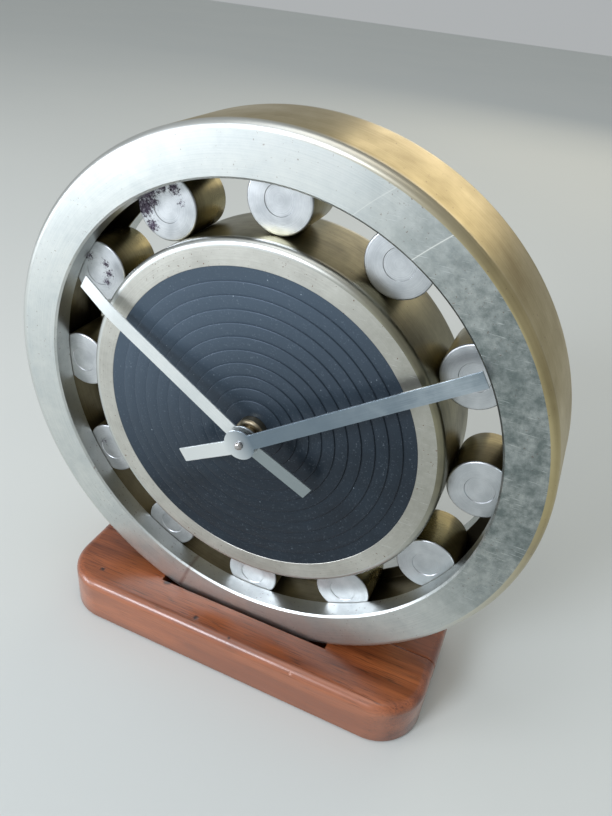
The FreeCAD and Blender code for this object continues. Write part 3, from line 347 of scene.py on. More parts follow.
def turned(section, segments, centre=CENTRE, closed=True, bm=None):
    """Turn (radius, place, finish) points about the Y axis through a centre. A point on the axis
    gives one vertex, and a bmesh that is given takes the faces."""
    bm = bm or bmesh.new()
    rings = []
    for radius, place, _ in section:
        count = 1 if radius < NEAR else segments
        rings.append([
            bm.verts.new((centre[0] + radius * math.sin(2 * math.pi * step / segments), centre[1] + place,
                          centre[2] + radius * math.cos(2 * math.pi * step / segments)))
            for step in range(count)
        ])
    pairs = len(section) if closed else len(section) - 1
    for number in range(pairs):
        first, second = rings[number], rings[(number + 1) % len(rings)]
        for step in range(segments):
            following = (step + 1) % segments
            corners = [first[step % len(first)], first[following % len(first)],
                       second[following % len(second)], second[step % len(second)]]
            face = bm.faces.new(list(dict.fromkeys(corners)))
            face.material_index = section[number][2]
    return bm


def rounded(middle_radius, middle_place, radius, finish, steps):
    """Points on a quarter circle of a section, which runs from the back to the outside."""
    return [
        (middle_radius + radius * math.cos(math.radians(90 - 90 * step / steps)),
         middle_place + radius * math.sin(math.radians(90 - 90 * step / steps)), finish)
        for step in range(steps + 1)
    ]


def mirrored(section):
    """A half section followed by its own mirror image, from front to back."""
    return section + [(radius, -place, finish) for radius, place, finish in reversed(section)]


# %% [markdown]
# ## The outer ring
# The outer ring carries two ribs that kept the rollers in line. Its outside edges have a wide
# rounding, which shows as a bright band in any light, and its bore edges a small chamfer.

# %% The outer ring
RING_ROUNDING = 3 * MM
RIB_CHAMFER = 0.8 * MM
EDGE = 0.25 * MM  # the tiny rounding that any ground edge has
TRACK_HALF = ROLLER_HALF + CLEARANCE
FACE, OUTSIDE, TRACK = 0, 1, 2

outside = RING_RADIUS - RING_ROUNDING
half_section = [
    (RIB_BORE + EDGE, TRACK_HALF, TRACK),
    (RIB_BORE, TRACK_HALF + EDGE, TRACK),
    (RIB_BORE, RING_HALF - RIB_CHAMFER, FACE),
    (RIB_BORE + RIB_CHAMFER, RING_HALF, FACE),
]
section = mirrored(half_section + rounded(outside, RING_HALF - RING_ROUNDING, RING_ROUNDING, OUTSIDE, 10))
section = [(OUTER_TRACK, TRACK_HALF - EDGE, TRACK), (OUTER_TRACK - EDGE, TRACK_HALF, TRACK)] + section
section += [(OUTER_TRACK - EDGE, -TRACK_HALF, TRACK), (OUTER_TRACK, -TRACK_HALF + EDGE, TRACK)]


def finish_of(first, second):
    """Which finish a stretch of the outer ring's section has."""
    if min(first[0], second[0]) > outside - NEAR and min(abs(first[1]), abs(second[1])) < RING_HALF - NEAR:
        return OUTSIDE
    return TRACK if max(abs(first[1]), abs(second[1])) < TRACK_HALF + EDGE + NEAR else FACE


section = [
    (point[0], point[1], finish_of(point, section[(number + 1) % len(section)]))
    for number, point in enumerate(section)
]
outer_ring = finished("bearing_outer_ring", turned(section, 288),
                      [ring_face_steel, cylinder_steel, track_steel], "root", "outer_ring")
print("outer ring:", len(outer_ring.data.polygons), "faces")

# %% [markdown]
# ## The inner ring
# The inner ring has no ribs: the rollers lie on a plain track. A wide rounding leads them on, and
# the bore has a chamfer, which is the seat that the dial lies in.

# %% The inner ring
INNER_ROUNDING = 2.7 * MM
BORE_CHAMFER = 2 * MM
LEAD_ON = 1

inner_edge = INNER_TRACK - INNER_ROUNDING
inner_section = [(BORE, RING_HALF - BORE_CHAMFER, FACE), (BORE + BORE_CHAMFER, RING_HALF, FACE)]
inner_section += rounded(inner_edge, RING_HALF - INNER_ROUNDING, INNER_ROUNDING, LEAD_ON, 8)
inner_section = mirrored(inner_section)
inner_section = [
    (point[0], point[1], LEAD_ON if min(point[0], following[0]) > inner_edge - NEAR else FACE)
    for point, following in zip(inner_section, inner_section[1:] + inner_section[:1])
]
inner_ring = finished("bearing_inner_ring", turned(inner_section, 256), [inner_face_steel, lead_on_steel],
                      "root", "inner_ring")
print("inner ring:", len(inner_ring.data.polygons), "faces")

# %% [markdown]
# ## Roller finishes
# The rollers were ground all over. Their ends stay silver, with the fine circles of the lathe, and
# their barrels are browned like the tracks. Water has eaten into three ends, worst at eleven
# o'clock, and left a dark purple crust beside the recess.

# %% Roller finishes
HOURS = 12
FAR = -100.0  # mm, outside every crust
CRUSTS = (  # an hour, then places to the right of its roller's middle and above it, and a size, in mm
    (11, -9.0, 5.0, 4.6), (11, -9.6, -1.5, 3.9), (11, -6.4, -8.0, 2.6), (11, -3.5, 8.0, 3.6),
    (11, 3.0, 7.6, 2.4), (11, -6.2, 1.0, 2.4), (11, 6.0, 3.0, 1.2), (10, 4.8, 0.0, 1.9),
    (10, 3.4, 3.8, 1.7), (10, 3.4, -3.8, 1.7), (10, -4.4, 5.5, 1.9), (8, -4.5, 2.0, 1.2),
)


def roller_end_steel():
    """A ground end with the lathe's circles about the roller's own axis, and the crusts."""
    made, tree = new_material("ground_steel_roller_end", Metallic=1)
    own = add(tree, "ShaderNodeAttribute", {}, "Vector", attribute_name="roller_place")
    circles = add(tree, NOISE, {"W": from_axis(tree, own), "Scale": 3, "Detail": 2}, noise_dimensions="1D")
    place = own_place(tree, CENTRE)
    patches = add(tree, NOISE, {"Vector": place, "Scale": 0.16, "Detail": 5})
    tone = add(tree, MATH, {0: circles, 1: 0.35, 2: patches}, operation="MULTIPLY_ADD")
    tone = add(tree, RANGE, {0: tone, 1: 0.5, 2: 0.85})
    metal = add(tree, MIX, {0: tone, 6: "#dadcde", 7: "#bcbfc2"}, 2, data_type="RGBA")
    # Painted shade: the ends on the right-hand side are painted greyer.
    right_end_shade = right_side(tree, clock_angle(tree, place), 0.3, 0.85, most=0.3)
    metal = add(tree, MIX, {0: right_end_shade, 6: metal, 7: "#9ba0a1"}, 2, data_type="RGBA")
    # The crust reaches as far from each place as its size, with an edge that noise makes ragged.
    across = add(tree, VECTOR_MATH, {0: place, 1: (1, 0, 1)}, operation="MULTIPLY")
    reached = FAR
    for number, right, up, size in CRUSTS:
        turn = math.radians(360 / HOURS * number)
        middle = (PITCH_RADIUS / MM * math.sin(turn) + right, 0, PITCH_RADIUS / MM * math.cos(turn) + up)
        away = add(tree, VECTOR_MATH, {0: across, 1: middle}, "Value", operation="DISTANCE")
        within = add(tree, MATH, {0: size, 1: away}, operation="SUBTRACT")
        reached = add(tree, MATH, {0: within, 1: reached}, operation="MAXIMUM")
    ragged = add(tree, NOISE, {"Vector": across, "Scale": 0.8, "Detail": 8, "Roughness": 0.8})
    crust = add(tree, MATH, {0: ragged, 1: 16.0, 2: reached}, operation="MULTIPLY_ADD")
    crust = add(tree, RANGE, {0: crust, 1: 7.9, 2: 9.3})
    tint = add(tree, RANGE, {0: ragged, 1: 0.35, 2: 0.6, 3: 1, 4: 0})
    crust_tint = add(tree, MIX, {0: tint, 6: "#2e2631", 7: "#8f8494"}, 2, data_type="RGBA")
    metal = add(tree, MIX, {0: crust, 6: metal, 7: crust_tint}, 2, data_type="RGBA")
    rough = add(tree, RANGE, {0: crust, 3: 0.36, 4: 0.6})
    height = add(tree, MATH, {0: crust, 1: -3, 2: circles}, operation="MULTIPLY_ADD")
    bump = add(tree, BUMP, {"Height": height, "Strength": 0.3, "Distance": 0.03 * MM})
    return fed(made, Base_Color=metal, Roughness=rough, Normal=bump)


end_steel = roller_end_steel()
barrel_steel = browned_steel("oil_browned_roller_steel", "#958c68", "#625b45", 0.26)
print("made", end_steel.name, "and", barrel_steel.name)

# %% [markdown]
# ## The rollers
# Twelve equal rollers stand on one circle, so one is turned and a Geometry Nodes tree sets the
# others out: points on a circle, and at each an instance with a random turn about its own axis.

# %% One roller
RECESS_RADIUS = 5.7 * MM
RECESS_DEPTH = 0.3 * MM
ROLLER_CHAMFER = 0.7 * MM
SMALL_EDGE = 0.12 * MM
BARREL, END = 0, 1

recess_floor = ROLLER_HALF - RECESS_DEPTH
half_roller = [(0, recess_floor, END), (RECESS_RADIUS - SMALL_EDGE, recess_floor, END),
               (RECESS_RADIUS, recess_floor + SMALL_EDGE, END),
               (RECESS_RADIUS, ROLLER_HALF - SMALL_EDGE, END), (RECESS_RADIUS + SMALL_EDGE, ROLLER_HALF, END)]
half_roller += rounded(ROLLER_RADIUS - ROLLER_CHAMFER, ROLLER_HALF - ROLLER_CHAMFER, ROLLER_CHAMFER, END, 4)
roller_section = mirrored(half_roller)
roller_section = [
    (point[0], point[1], BARREL if min(point[0], following[0]) > ROLLER_RADIUS - NEAR else END)
    for point, following in zip(roller_section, roller_section[1:] + roller_section[-1:])
]
one_roller = finished("one_roller", turned(roller_section, 96, (0, 0, 0), closed=False), [], None, sharp=30)
places = one_roller.data.attributes.new("roller_place", "FLOAT_VECTOR", "POINT")
places.data.foreach_set("vector", [part / MM for vertex in one_roller.data.vertices for part in vertex.co])
ends = one_roller.data.attributes.new("end_face", "INT", "FACE")
ends.data.foreach_set("value", [face.material_index for face in one_roller.data.polygons])
print("one roller:", len(one_roller.data.polygons), "faces")


# %% The tree that sets the rollers out
def new_geometry_tree(name, values):
    """An empty Geometry Nodes tree with an input for each named value, and those inputs."""
    tree = bpy.data.node_groups.new(name, "GeometryNodeTree")
    kinds = {bpy.types.Object: "Object", bpy.types.Material: "Material", int: "Int", float: "Float"}
    for label, value in values.items():
        kind = next(kinds[known] for known in kinds if isinstance(value, known))
        tree.interface.new_socket(label, in_out="INPUT", socket_type="NodeSocket" + kind)
    tree.interface.new_socket("Geometry", in_out="OUTPUT", socket_type="NodeSocketGeometry")
    return tree, tree.nodes.new("NodeGroupInput").outputs


def on_circle(tree, angle, radius, height, along=0.0):
    """The place at a clock angle and a radius from an axis that runs along Y at a height."""
    across = add(tree, MATH, {0: angle}, operation="SINE")
    across = add(tree, MATH, {0: across, 1: radius}, operation="MULTIPLY")
    up = add(tree, MATH, {0: angle}, operation="COSINE")
    up = add(tree, MATH, {0: up, 1: radius, 2: height}, operation="MULTIPLY_ADD")
    return add(tree, "ShaderNodeCombineXYZ", {0: across, 1: along, 2: up})


def evaluated(name, tree, values):
    """Run a tree once with named values, and keep the plain mesh that it gives."""
    carrier = bpy.data.objects.new(name, bpy.data.meshes.new(name + "_start"))
    bpy.context.scene.collection.objects.link(carrier)
    modifier = carrier.modifiers.new(name, "NODES")
    modifier.node_group = tree
    for item in tree.interface.items_tree:
        if item.in_out == "INPUT":
            modifier[item.identifier] = values[item.name]
    graph = bpy.context.evaluated_depsgraph_get()
    made = bpy.data.meshes.new_from_object(carrier.evaluated_get(graph), preserve_all_data_layers=True,
                                           depsgraph=graph)
    carrier.modifiers.clear()
    carrier.data = made
    made.name = name
    return carrier


settings = {
    "Roller": one_roller, "Count": HOURS, "Circle radius": PITCH_RADIUS, "Axis height": AXIS_HEIGHT,
    "Seed": 7, "Barrel": barrel_steel, "Ends": end_steel,
}
tree, given = new_geometry_tree("Rollers on a circle", settings)
index = add(tree, "GeometryNodeInputIndex")
share = add(tree, MATH, {0: index, 1: given["Count"]}, operation="DIVIDE")
angle = add(tree, MATH, {0: share, 1: 2 * math.pi}, operation="MULTIPLY")
place = on_circle(tree, angle, given["Circle radius"], given["Axis height"])
points = add(tree, "GeometryNodePoints", {"Count": given["Count"], "Position": place})
shape = add(tree, "GeometryNodeObjectInfo", {"Object": given["Roller"], "As Instance": True}, "Geometry")
spin = add(tree, "FunctionNodeRandomValue", {2: 0.0, 3: 2 * math.pi, "Seed": given["Seed"]}, 1,
           data_type="FLOAT")
spin = add(tree, "ShaderNodeCombineXYZ", {1: spin})
copies = add(tree, "GeometryNodeInstanceOnPoints", {"Points": points, "Instance": shape, "Rotation": spin})
real = add(tree, "GeometryNodeRealizeInstances", {"Geometry": copies})
real = add(tree, "GeometryNodeSetMaterial", {"Geometry": real, "Material": given["Barrel"]})
is_end = add(tree, "GeometryNodeInputNamedAttribute", {"Name": "end_face"}, data_type="INT")
real = add(tree, "GeometryNodeSetMaterial",
           {"Geometry": real, "Selection": is_end, "Material": given["Ends"]})
add(tree, "NodeGroupOutput", {"Geometry": real})

rollers = evaluated("bearing_rollers", tree, settings)
bpy.data.objects.remove(one_roller)
rollers.data.materials.pop(index=0)  # the one roller's own empty slot
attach(rollers, "root")
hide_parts(*["roller_%02d" % number for number in range(1, 13)])
print("rollers:", len(rollers.data.polygons), "faces,",
      [material.name for material in rollers.data.materials])

# %% [markdown]
# ## The dial's finish
# The dial is a disc of black acetal, turned in a lathe. The tool leaves fine grooves that spread
# the light into a soft blue-grey sheen, painted lighter at the upper left as a painted sheen, and dust
# and small bright nicks lie on it.


# %% The dial's finish
def turned_black():
    """Black acetal with a lathe's grooves, a painted sheen at the upper left, and dust and bright nicks."""
    made, tree = new_material("turned_black_acetal", Metallic=0, IOR=1.48, Specular_Tint=colour("#d2e0f6"))
    place = own_place(tree, CENTRE)
    grooves = add(tree, NOISE, {"W": from_axis(tree, place), "Scale": 4, "Detail": 2},
                  noise_dimensions="1D")
    clouds = add(tree, NOISE, {"Vector": place, "Scale": 0.05, "Detail": 5, "Roughness": 0.6})
    tone = add(tree, RANGE, {0: clouds, 1: 0.35, 2: 0.7})
    black = add(tree, MIX, {0: tone, 6: "#10161b", 7: "#182128"}, 2, data_type="RGBA")
    # Painted sheen: the upper left is painted a lighter slate blue, where the light falls on it.
    side = add(tree, VECTOR_MATH, {0: place, 1: (-0.5, 0, 0.85)}, "Value", operation="DOT_PRODUCT")
    painted_sheen = add(tree, RANGE, {0: side, 1: -18, 2: 48})
    black = add(tree, MIX, {0: painted_sheen, 6: black, 7: "#424e59"}, 2, data_type="RGBA")
    dust = add(tree, "ShaderNodeTexVoronoi", {"Vector": place, "Scale": 0.32, "Randomness": 1}, "Distance")
    dust = add(tree, RANGE, {0: dust, 1: 0.05, 2: 0.075, 3: 1, 4: 0})
    rare = add(tree, NOISE, {"Vector": place, "Scale": 0.3, "Detail": 1})
    rare = add(tree, RANGE, {0: rare, 1: 0.56, 2: 0.66})
    dust = add(tree, MATH, {0: dust, 1: rare}, operation="MULTIPLY")
    fine = add(tree, NOISE, {"Vector": place, "Scale": 1.4, "Detail": 2})
    fine = add(tree, RANGE, {0: fine, 1: 0.62, 2: 0.8, 4: 0.25})
    dust = add(tree, MATH, {0: dust, 1: fine}, operation="MAXIMUM")
    black = add(tree, MIX, {0: dust, 6: black, 7: "#9aa6b0"}, 2, data_type="RGBA")
    rough = add(tree, RANGE, {0: clouds, 3: 0.28, 4: 0.4})
    bump = add(tree, BUMP, {"Height": grooves, "Strength": 0.35, "Distance": 0.03 * MM})
    return fed(made, Base_Color=black, Roughness=rough, Normal=bump)


dial_black = turned_black()
print("made", dial_black.name)

# %% [markdown]
# ## The dial
# Ten steps are turned in the face, each a short wall and a long slope back up to the next crest.
# The tool's nose leaves the crest round, and that is what catches the light as a fine bright arc.
# The shape follows a rule, so a Geometry Nodes tree bends a flat grid into it: a row's number says
# which step it belongs to, and a column's number says how far round it stands.

# %% The tree that turns the dial's face
STEP_COUNT = 10
FIRST_RADIUS = 13 * MM
DIAL_MARGIN = 5.48 * MM
STEP_DEPTH = 0.6 * MM
CREST = 0.4 * MM
CORNERS = 5        # rows of vertices in a step: four on the crest's quarter circle and the wall's foot
DIAL_SEGMENTS = 240
dial_low, dial_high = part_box("dial_plate")
DIAL_HOLE, DIAL_RIM = reach("dial_plate")
STEP_PITCH = (DIAL_RIM - DIAL_MARGIN - FIRST_RADIUS) / (STEP_COUNT - 1)

settings = {
    "Steps": STEP_COUNT, "First radius": FIRST_RADIUS, "Step pitch": STEP_PITCH, "Step depth": STEP_DEPTH,
    "Crest radius": CREST, "Hole radius": DIAL_HOLE, "Rim radius": DIAL_RIM, "Front": dial_low.y,
    "Axis height": AXIS_HEIGHT, "Segments": DIAL_SEGMENTS, "Finish": dial_black,
}
tree, given = new_geometry_tree("Stepped dial face", settings)
rows = add(tree, MATH, {0: given["Steps"], 1: CORNERS, 2: 2}, operation="MULTIPLY_ADD")
columns = add(tree, MATH, {0: given["Segments"], 1: 1}, operation="ADD")
grid = add(tree, "GeometryNodeMeshGrid", {"Vertices X": rows, "Vertices Y": columns})
index = add(tree, "GeometryNodeInputIndex")
row = add(tree, MATH, {0: index, 1: columns}, operation="DIVIDE")
row = add(tree, MATH, {0: row, 1: 0.0001}, operation="ADD")  # so that no whole number is rounded down
row = add(tree, MATH, {0: row}, operation="FLOOR")
column = add(tree, MATH, {0: index, 1: columns}, operation="MODULO")
turn = add(tree, MATH, {0: column, 1: given["Segments"]}, operation="DIVIDE")
turn = add(tree, MATH, {0: turn, 1: 2 * math.pi}, operation="MULTIPLY")
inner_row = add(tree, MATH, {0: row, 1: 1}, operation="SUBTRACT")
step = add(tree, MATH, {0: inner_row, 1: CORNERS}, operation="DIVIDE")
step = add(tree, MATH, {0: step}, operation="FLOOR")
corner = add(tree, MATH, {0: inner_row, 1: CORNERS}, operation="FLOORED_MODULO")
at_foot = add(tree, MATH, {0: corner, 1: CORNERS - 1.5}, operation="GREATER_THAN")
# On the crest a corner is drawn in towards the axis by 1 - sine of its arc, and lowered by 1 - cosine.
arc = add(tree, MATH, {0: corner, 1: CORNERS - 2}, operation="MINIMUM")
arc = add(tree, MATH, {0: arc, 1: math.pi / 2 / (CORNERS - 2)}, operation="MULTIPLY")
off_crest = []
for wave in ("SINE", "COSINE"):
    part = add(tree, MATH, {0: arc}, operation=wave)
    part = add(tree, MATH, {0: 1.0, 1: part}, operation="SUBTRACT")
    off_crest.append(add(tree, MATH, {0: part, 1: given["Crest radius"]}, operation="MULTIPLY"))
drawn_in, lowered = off_crest
radius = add(tree, MATH, {0: step, 1: given["Step pitch"], 2: given["First radius"]},
             operation="MULTIPLY_ADD")
radius = add(tree, MATH, {0: radius, 1: drawn_in}, operation="SUBTRACT")
first_row = add(tree, MATH, {0: row, 1: 0.5}, operation="LESS_THAN")
last = add(tree, MATH, {0: rows, 1: 1.5}, operation="SUBTRACT")
last_row = add(tree, MATH, {0: row, 1: last}, operation="GREATER_THAN")
edge_row = add(tree, MATH, {0: first_row, 1: last_row}, operation="MAXIMUM")
depth = lowered
for chosen, value in ((at_foot, given["Step depth"]), (edge_row, 0.0)):
    depth = add(tree, "GeometryNodeSwitch", {"Switch": chosen, "False": depth, "True": value},
                input_type="FLOAT")
for chosen, value in ((first_row, given["Hole radius"]), (last_row, given["Rim radius"])):
    radius = add(tree, "GeometryNodeSwitch", {"Switch": chosen, "False": radius, "True": value},
                 input_type="FLOAT")
along = add(tree, MATH, {0: given["Front"], 1: depth}, operation="ADD")
place = on_circle(tree, turn, radius, given["Axis height"], along)
face = add(tree, "GeometryNodeSetPosition", {"Geometry": grid, "Position": place})
face = add(tree, "GeometryNodeMergeByDistance", {"Geometry": face, "Distance": WELD})
face = add(tree, "GeometryNodeRealizeInstances", {"Geometry": face})
face = add(tree, "GeometryNodeSetMaterial", {"Geometry": face, "Material": given["Finish"]})
add(tree, "NodeGroupOutput", {"Geometry": face})

# %% The dial
RIM_DROP = BORE_CHAMFER - (dial_low.y + RING_HALF)
stepped = evaluated("stepped_face", tree, settings)
bm = bmesh.new()
bm.from_mesh(stepped.data)
bpy.data.objects.remove(stepped)
turned([(DIAL_RIM, dial_low.y, 0), (DIAL_RIM - RIM_DROP, dial_low.y + RIM_DROP, 0),
        (DIAL_RIM - RIM_DROP, dial_high.y, 0), (DIAL_HOLE, dial_high.y, 0), (DIAL_HOLE, dial_low.y, 0)],
       DIAL_SEGMENTS, closed=False, bm=bm)
bmesh.ops.remove_doubles(bm, verts=bm.verts, dist=LOOSE_WELD)
dial = finished("dial_disc", bm, [dial_black], "root", "dial_plate", sharp=40)
print("dial:", len(dial.data.polygons), "faces, step pitch", round(STEP_PITCH / MM, 3), "mm")

# %% [markdown]
# ## Satin aluminium
# The hands are cut from aluminium sheet a bit under a millimetre thick, and rubbed with fine
# abrasive along their length. The shears leave a slightly rough edge, brighter than the face.


# %% Satin aluminium
def satin_aluminium(name, pale, grey, along, tail=None, near_disc_shade=None):
    """Sheet rubbed along a clock angle, with a painted tint of light and shade for its tail, and painted
    shade on the arm near the disc.
    """
    made, tree = new_material(name, Metallic=1)
    place = own_place(tree, CENTRE)
    turn = {"Vector": place, "Axis": (0, 1, 0), "Angle": -math.radians(along)}
    rubbed = add(tree, "ShaderNodeVectorRotate", turn, rotation_type="AXIS_ANGLE")
    outwards = add(tree, PARTS, {0: rubbed}, 2)
    rubbed = add(tree, VECTOR_MATH, {0: rubbed, 1: (3, 1, 0.08)}, operation="MULTIPLY")
    lines = add(tree, NOISE, {"Vector": rubbed, "Scale": 1, "Detail": 3})
    clouds = add(tree, NOISE, {"Vector": place, "Scale": 0.12, "Detail": 4})
    tone = add(tree, MATH, {0: lines, 1: 0.4, 2: clouds}, operation="MULTIPLY_ADD")
    tone = add(tree, RANGE, {0: tone, 1: 0.5, 2: 0.9})
    metal = add(tree, MIX, {0: tone, 6: pale, 7: grey}, 2, data_type="RGBA")
    # Painted shade: the arm is painted darker near the disc.
    if near_disc_shade:
        close = add(tree, RANGE, {0: outwards, 1: 40, 2: 90, 3: 0.85, 4: 0})
        metal = add(tree, MIX, {0: close, 6: metal, 7: near_disc_shade}, 2, data_type="RGBA")
    # Painted light and shade: the tail is painted in a tone of its own, pale on one hand and dark on the
    # other.
    if tail:
        behind = add(tree, RANGE, {0: outwards, 1: 6, 2: -7})
        metal = add(tree, MIX, {0: behind, 6: metal, 7: tail}, 2, data_type="RGBA")
    rough = add(tree, RANGE, {0: tone, 3: 0.28, 4: 0.38})
    bump = add(tree, BUMP, {"Height": lines, "Strength": 0.3, "Distance": 0.03 * MM})
    return fed(made, Base_Color=metal, Roughness=rough, Normal=bump)


HOUR_ANGLE = 300.3
MINUTE_ANGLE = 57.3
# Painted light and shade: both hands are one aluminium, but the hour hand is painted pale with a darker tail,
# and the minute hand grey with a pale tail and a darker arm near the disc.
hour_aluminium = satin_aluminium("satin_aluminium_hour", "#f0f2f1", "#dde1e0", HOUR_ANGLE, "#9ca5a7")
minute_aluminium = satin_aluminium("satin_aluminium_minute", "#b2bcc3", "#8b979f", MINUTE_ANGLE, "#f0f3f3",
                                   "#72808b")
sheared_edge = satin_aluminium("sheared_aluminium_edge", "#f2f4f4", "#cfd4d6", 0)
print("made", hour_aluminium.name, "and", minute_aluminium.name)

# %% [markdown]
# ## The hands
# A hand is a bar with a disc in its middle. Both arms lean back towards the ring, and the hour
# hand's long arm bends further near its tip. The mesh is all four-sided faces in rows across the
# bar, so that it takes the bend without creases, and the rows at the shears' cut may stray by a
# few hundredths of a millimetre, as on the real edge.


# %% The hands
HUB_RADIUS = 6.5 * MM
FIRST_ROW = 1.02 * HUB_RADIUS  # where an arm's own rows start, just outside the disc
HAND_HALF = 3.15 * MM
HAND_THICKNESS = 0.8 * MM
SHEAR_STRAY = 0.06   # mm
RIM_ROUNDING = 0.16 * MM
ROW_LENGTH = 2 * MM
ACROSS = 6           # faces across the bar
AROUND = 12          # faces round the disc between the two arms
RUBBED, SHEARED = 0, 1


def hand_rows(reach_out):
    """Distances of the rows along an arm, from the disc to the end."""
    count = round((reach_out - FIRST_ROW) / ROW_LENGTH)
    return [FIRST_ROW + (reach_out - FIRST_ROW) * number / count for number in range(count + 1)]


def set_back(distance, lean, bend):
    """How far back an arm lies at a distance: flat over the disc, leaning, and past its bend more so."""
    lean = math.radians(lean)
    if not bend or distance <= bend[0]:
        return max(distance - HUB_RADIUS, 0) * math.tan(lean)
    start, radius, angle = bend
    steeper = lean + math.radians(angle)
    drop = (start - HUB_RADIUS) * math.tan(lean)
    end = start + radius * (math.sin(steeper) - math.sin(lean))
    if distance <= end:
        reached = math.asin(math.sin(lean) + (distance - start) / radius)
        return drop + radius * (math.cos(lean) - math.cos(reached))
    return drop + radius * (math.cos(lean) - math.cos(steeper)) + (distance - end) * math.tan(steeper)


def hand(name, node, body, material, hole_radius, turn, arm, tail):
    """A hand in place of its CAD node; arm and tail are a reach, a lean in degrees and a bend, which
    is where it starts, its radius and its angle in degrees."""
    shake = random.Random(name)
    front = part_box(node)[0].y
    bm = bmesh.new()
    half_angle = math.asin(HAND_HALF / HUB_RADIUS)
    half_round = [-half_angle + 2 * half_angle * number / ACROSS for number in range(ACROSS + 1)]
    half_round += [half_angle + (math.pi - 2 * half_angle) * number / AROUND for number in range(1, AROUND)]
    angles = half_round + [math.pi + angle for angle in half_round]
    outer = [bm.verts.new((HUB_RADIUS * math.sin(a), front, HUB_RADIUS * math.cos(a))) for a in angles]
    inner = [bm.verts.new((hole_radius * math.sin(a), front, hole_radius * math.cos(a))) for a in angles]
    for number in range(len(angles)):
        following = (number + 1) % len(angles)
        bm.faces.new((outer[number], outer[following], inner[following], inner[number]))
    for sign, length, start in ((1, arm[0], 0), (-1, tail[0], len(half_round))):
        previous = outer[start:start + ACROSS + 1]
        for distance in hand_rows(length):
            half = HAND_HALF - shake.uniform(0, SHEAR_STRAY) * MM
            row = [bm.verts.new((sign * half * (2 * number / ACROSS - 1), front, sign * distance))
                   for number in range(ACROSS + 1)]
            for number in range(ACROSS):
                bm.faces.new((previous[number], previous[number + 1], row[number + 1], row[number]))
            previous = row
    made = bmesh.ops.extrude_face_region(bm, geom=bm.faces[:])
    for item in made["geom"]:
        if isinstance(item, bmesh.types.BMVert):
            item.co.y += HAND_THICKNESS
    for vertex in bm.verts:
        _, lean, bend = arm if vertex.co.z > 0 else tail
        vertex.co.y += set_back(abs(vertex.co.z), lean, bend)
    bmesh.ops.recalc_face_normals(bm, faces=bm.faces)
    rim = [edge for edge in bm.edges if edge.is_manifold and edge.calc_face_angle() > math.radians(60)]
    bmesh.ops.bevel(bm, geom=rim, offset=RIM_ROUNDING, segments=2, affect="EDGES", clamp_overlap=True)
    bmesh.ops.recalc_face_normals(bm, faces=bm.faces)
    for face in bm.faces:
        face.material_index = RUBBED if abs(face.normal.y) > 0.95 else SHEARED
    bm.transform(Matrix.Translation(CENTRE) @ Matrix.Rotation(math.radians(turn), 4, "Y"))
    piece = finished(name, bm, [material, sheared_edge], body, node, sharp=40)
    return piece


HOUR_HOLE, HOUR_ARM, HOUR_TAIL = 2.5 * MM, (88.3 * MM, 2.9, (68 * MM, 60 * MM, 8)), (32.4 * MM, 4.3, None)
MINUTE_HOLE, MINUTE_ARM, MINUTE_TAIL = 1.7 * MM, (97.5 * MM, 4.4, None), (32.5 * MM, 7.6, None)
hour_hand = hand("hour_hand_bar", "hour_hand", "hour", hour_aluminium, HOUR_HOLE, HOUR_ANGLE,
                 HOUR_ARM, HOUR_TAIL)
minute_hand = hand("minute_hand_bar", "minute_hand", "minute", minute_aluminium, MINUTE_HOLE, MINUTE_ANGLE,
                   MINUTE_ARM, MINUTE_TAIL)
print("hands:", len(hour_hand.data.polygons), "and", len(minute_hand.data.polygons), "faces")

# %% [markdown]
# ## Plain finishes
# The rest are single materials with a little variation: brass for the nut and the bush, bright
# steel for the arbor, rubber, acetal, copper and the like for the movement behind the dial.


# %% Plain finishes
def plain(name, first, second, grain, roughness, relief, **constants):
    """A material that wanders between two colours over a distance in mm, with a fine relief in mm."""
    made, tree = new_material(name, **constants)
    place = own_place(tree)
    clouds = add(tree, NOISE, {"Vector": place, "Scale": 1 / grain, "Detail": 5, "Roughness": 0.6})
    tone = add(tree, RANGE, {0: clouds, 1: 0.35, 2: 0.65})
    rough = add(tree, RANGE, {0: tone, 3: roughness, 4: roughness + 0.1})
    fine = add(tree, NOISE, {"Vector": place, "Scale": 6 / grain, "Detail": 3})
    bump = add(tree, BUMP, {"Height": fine, "Strength": 0.4, "Distance": relief * MM})
    blend = add(tree, MIX, {0: tone, 6: first, 7: second}, 2, data_type="RGBA")
    return fed(made, Base_Color=blend, Roughness=rough, Normal=bump)


brass = plain("turned_brass", "#ada28a", "#7f7562", 3, 0.32, 0.01, Metallic=1)
bright_steel = plain("bright_drawn_steel", "#c4c2c0", "#a39d9a", 2, 0.2, 0.005, Metallic=1)
rubber = plain("black_nitrile_rubber", "#1b1b1c", "#262627", 2, 0.7, 0.02)
acetal = plain("white_moulded_acetal", "#e6e3da", "#dcd8cd", 4, 0.4, 0.004, IOR=1.48)
magnet = plain("sintered_magnet", "#3a3a3d", "#4a4a4d", 0.6, 0.55, 0.02, Metallic=1)
iron = plain("stamped_soft_iron", "#9a9a98", "#7e7e7d", 2, 0.38, 0.01, Metallic=1)
copper = plain("enamelled_copper_wire", "#a85a34", "#8a4426", 0.8, 0.3, 0.03, Metallic=1)
board_green = plain("green_solder_resist", "#1f5a35", "#2a6a40", 3, 0.35, 0.008, IOR=1.55)
sleeve = plain("plain_cell_sleeve", "#3c4450", "#343b46", 6, 0.28, 0.003, IOR=1.5)
case_black = plain("black_moulded_abs", "#1c1d1f", "#242527", 1.2, 0.5, 0.03, IOR=1.54)
nickel = plain("nickel_plated_spring_steel", "#cfccc4", "#b5b1a8", 2, 0.25, 0.004, Metallic=1)
print("made 11 plain finishes")
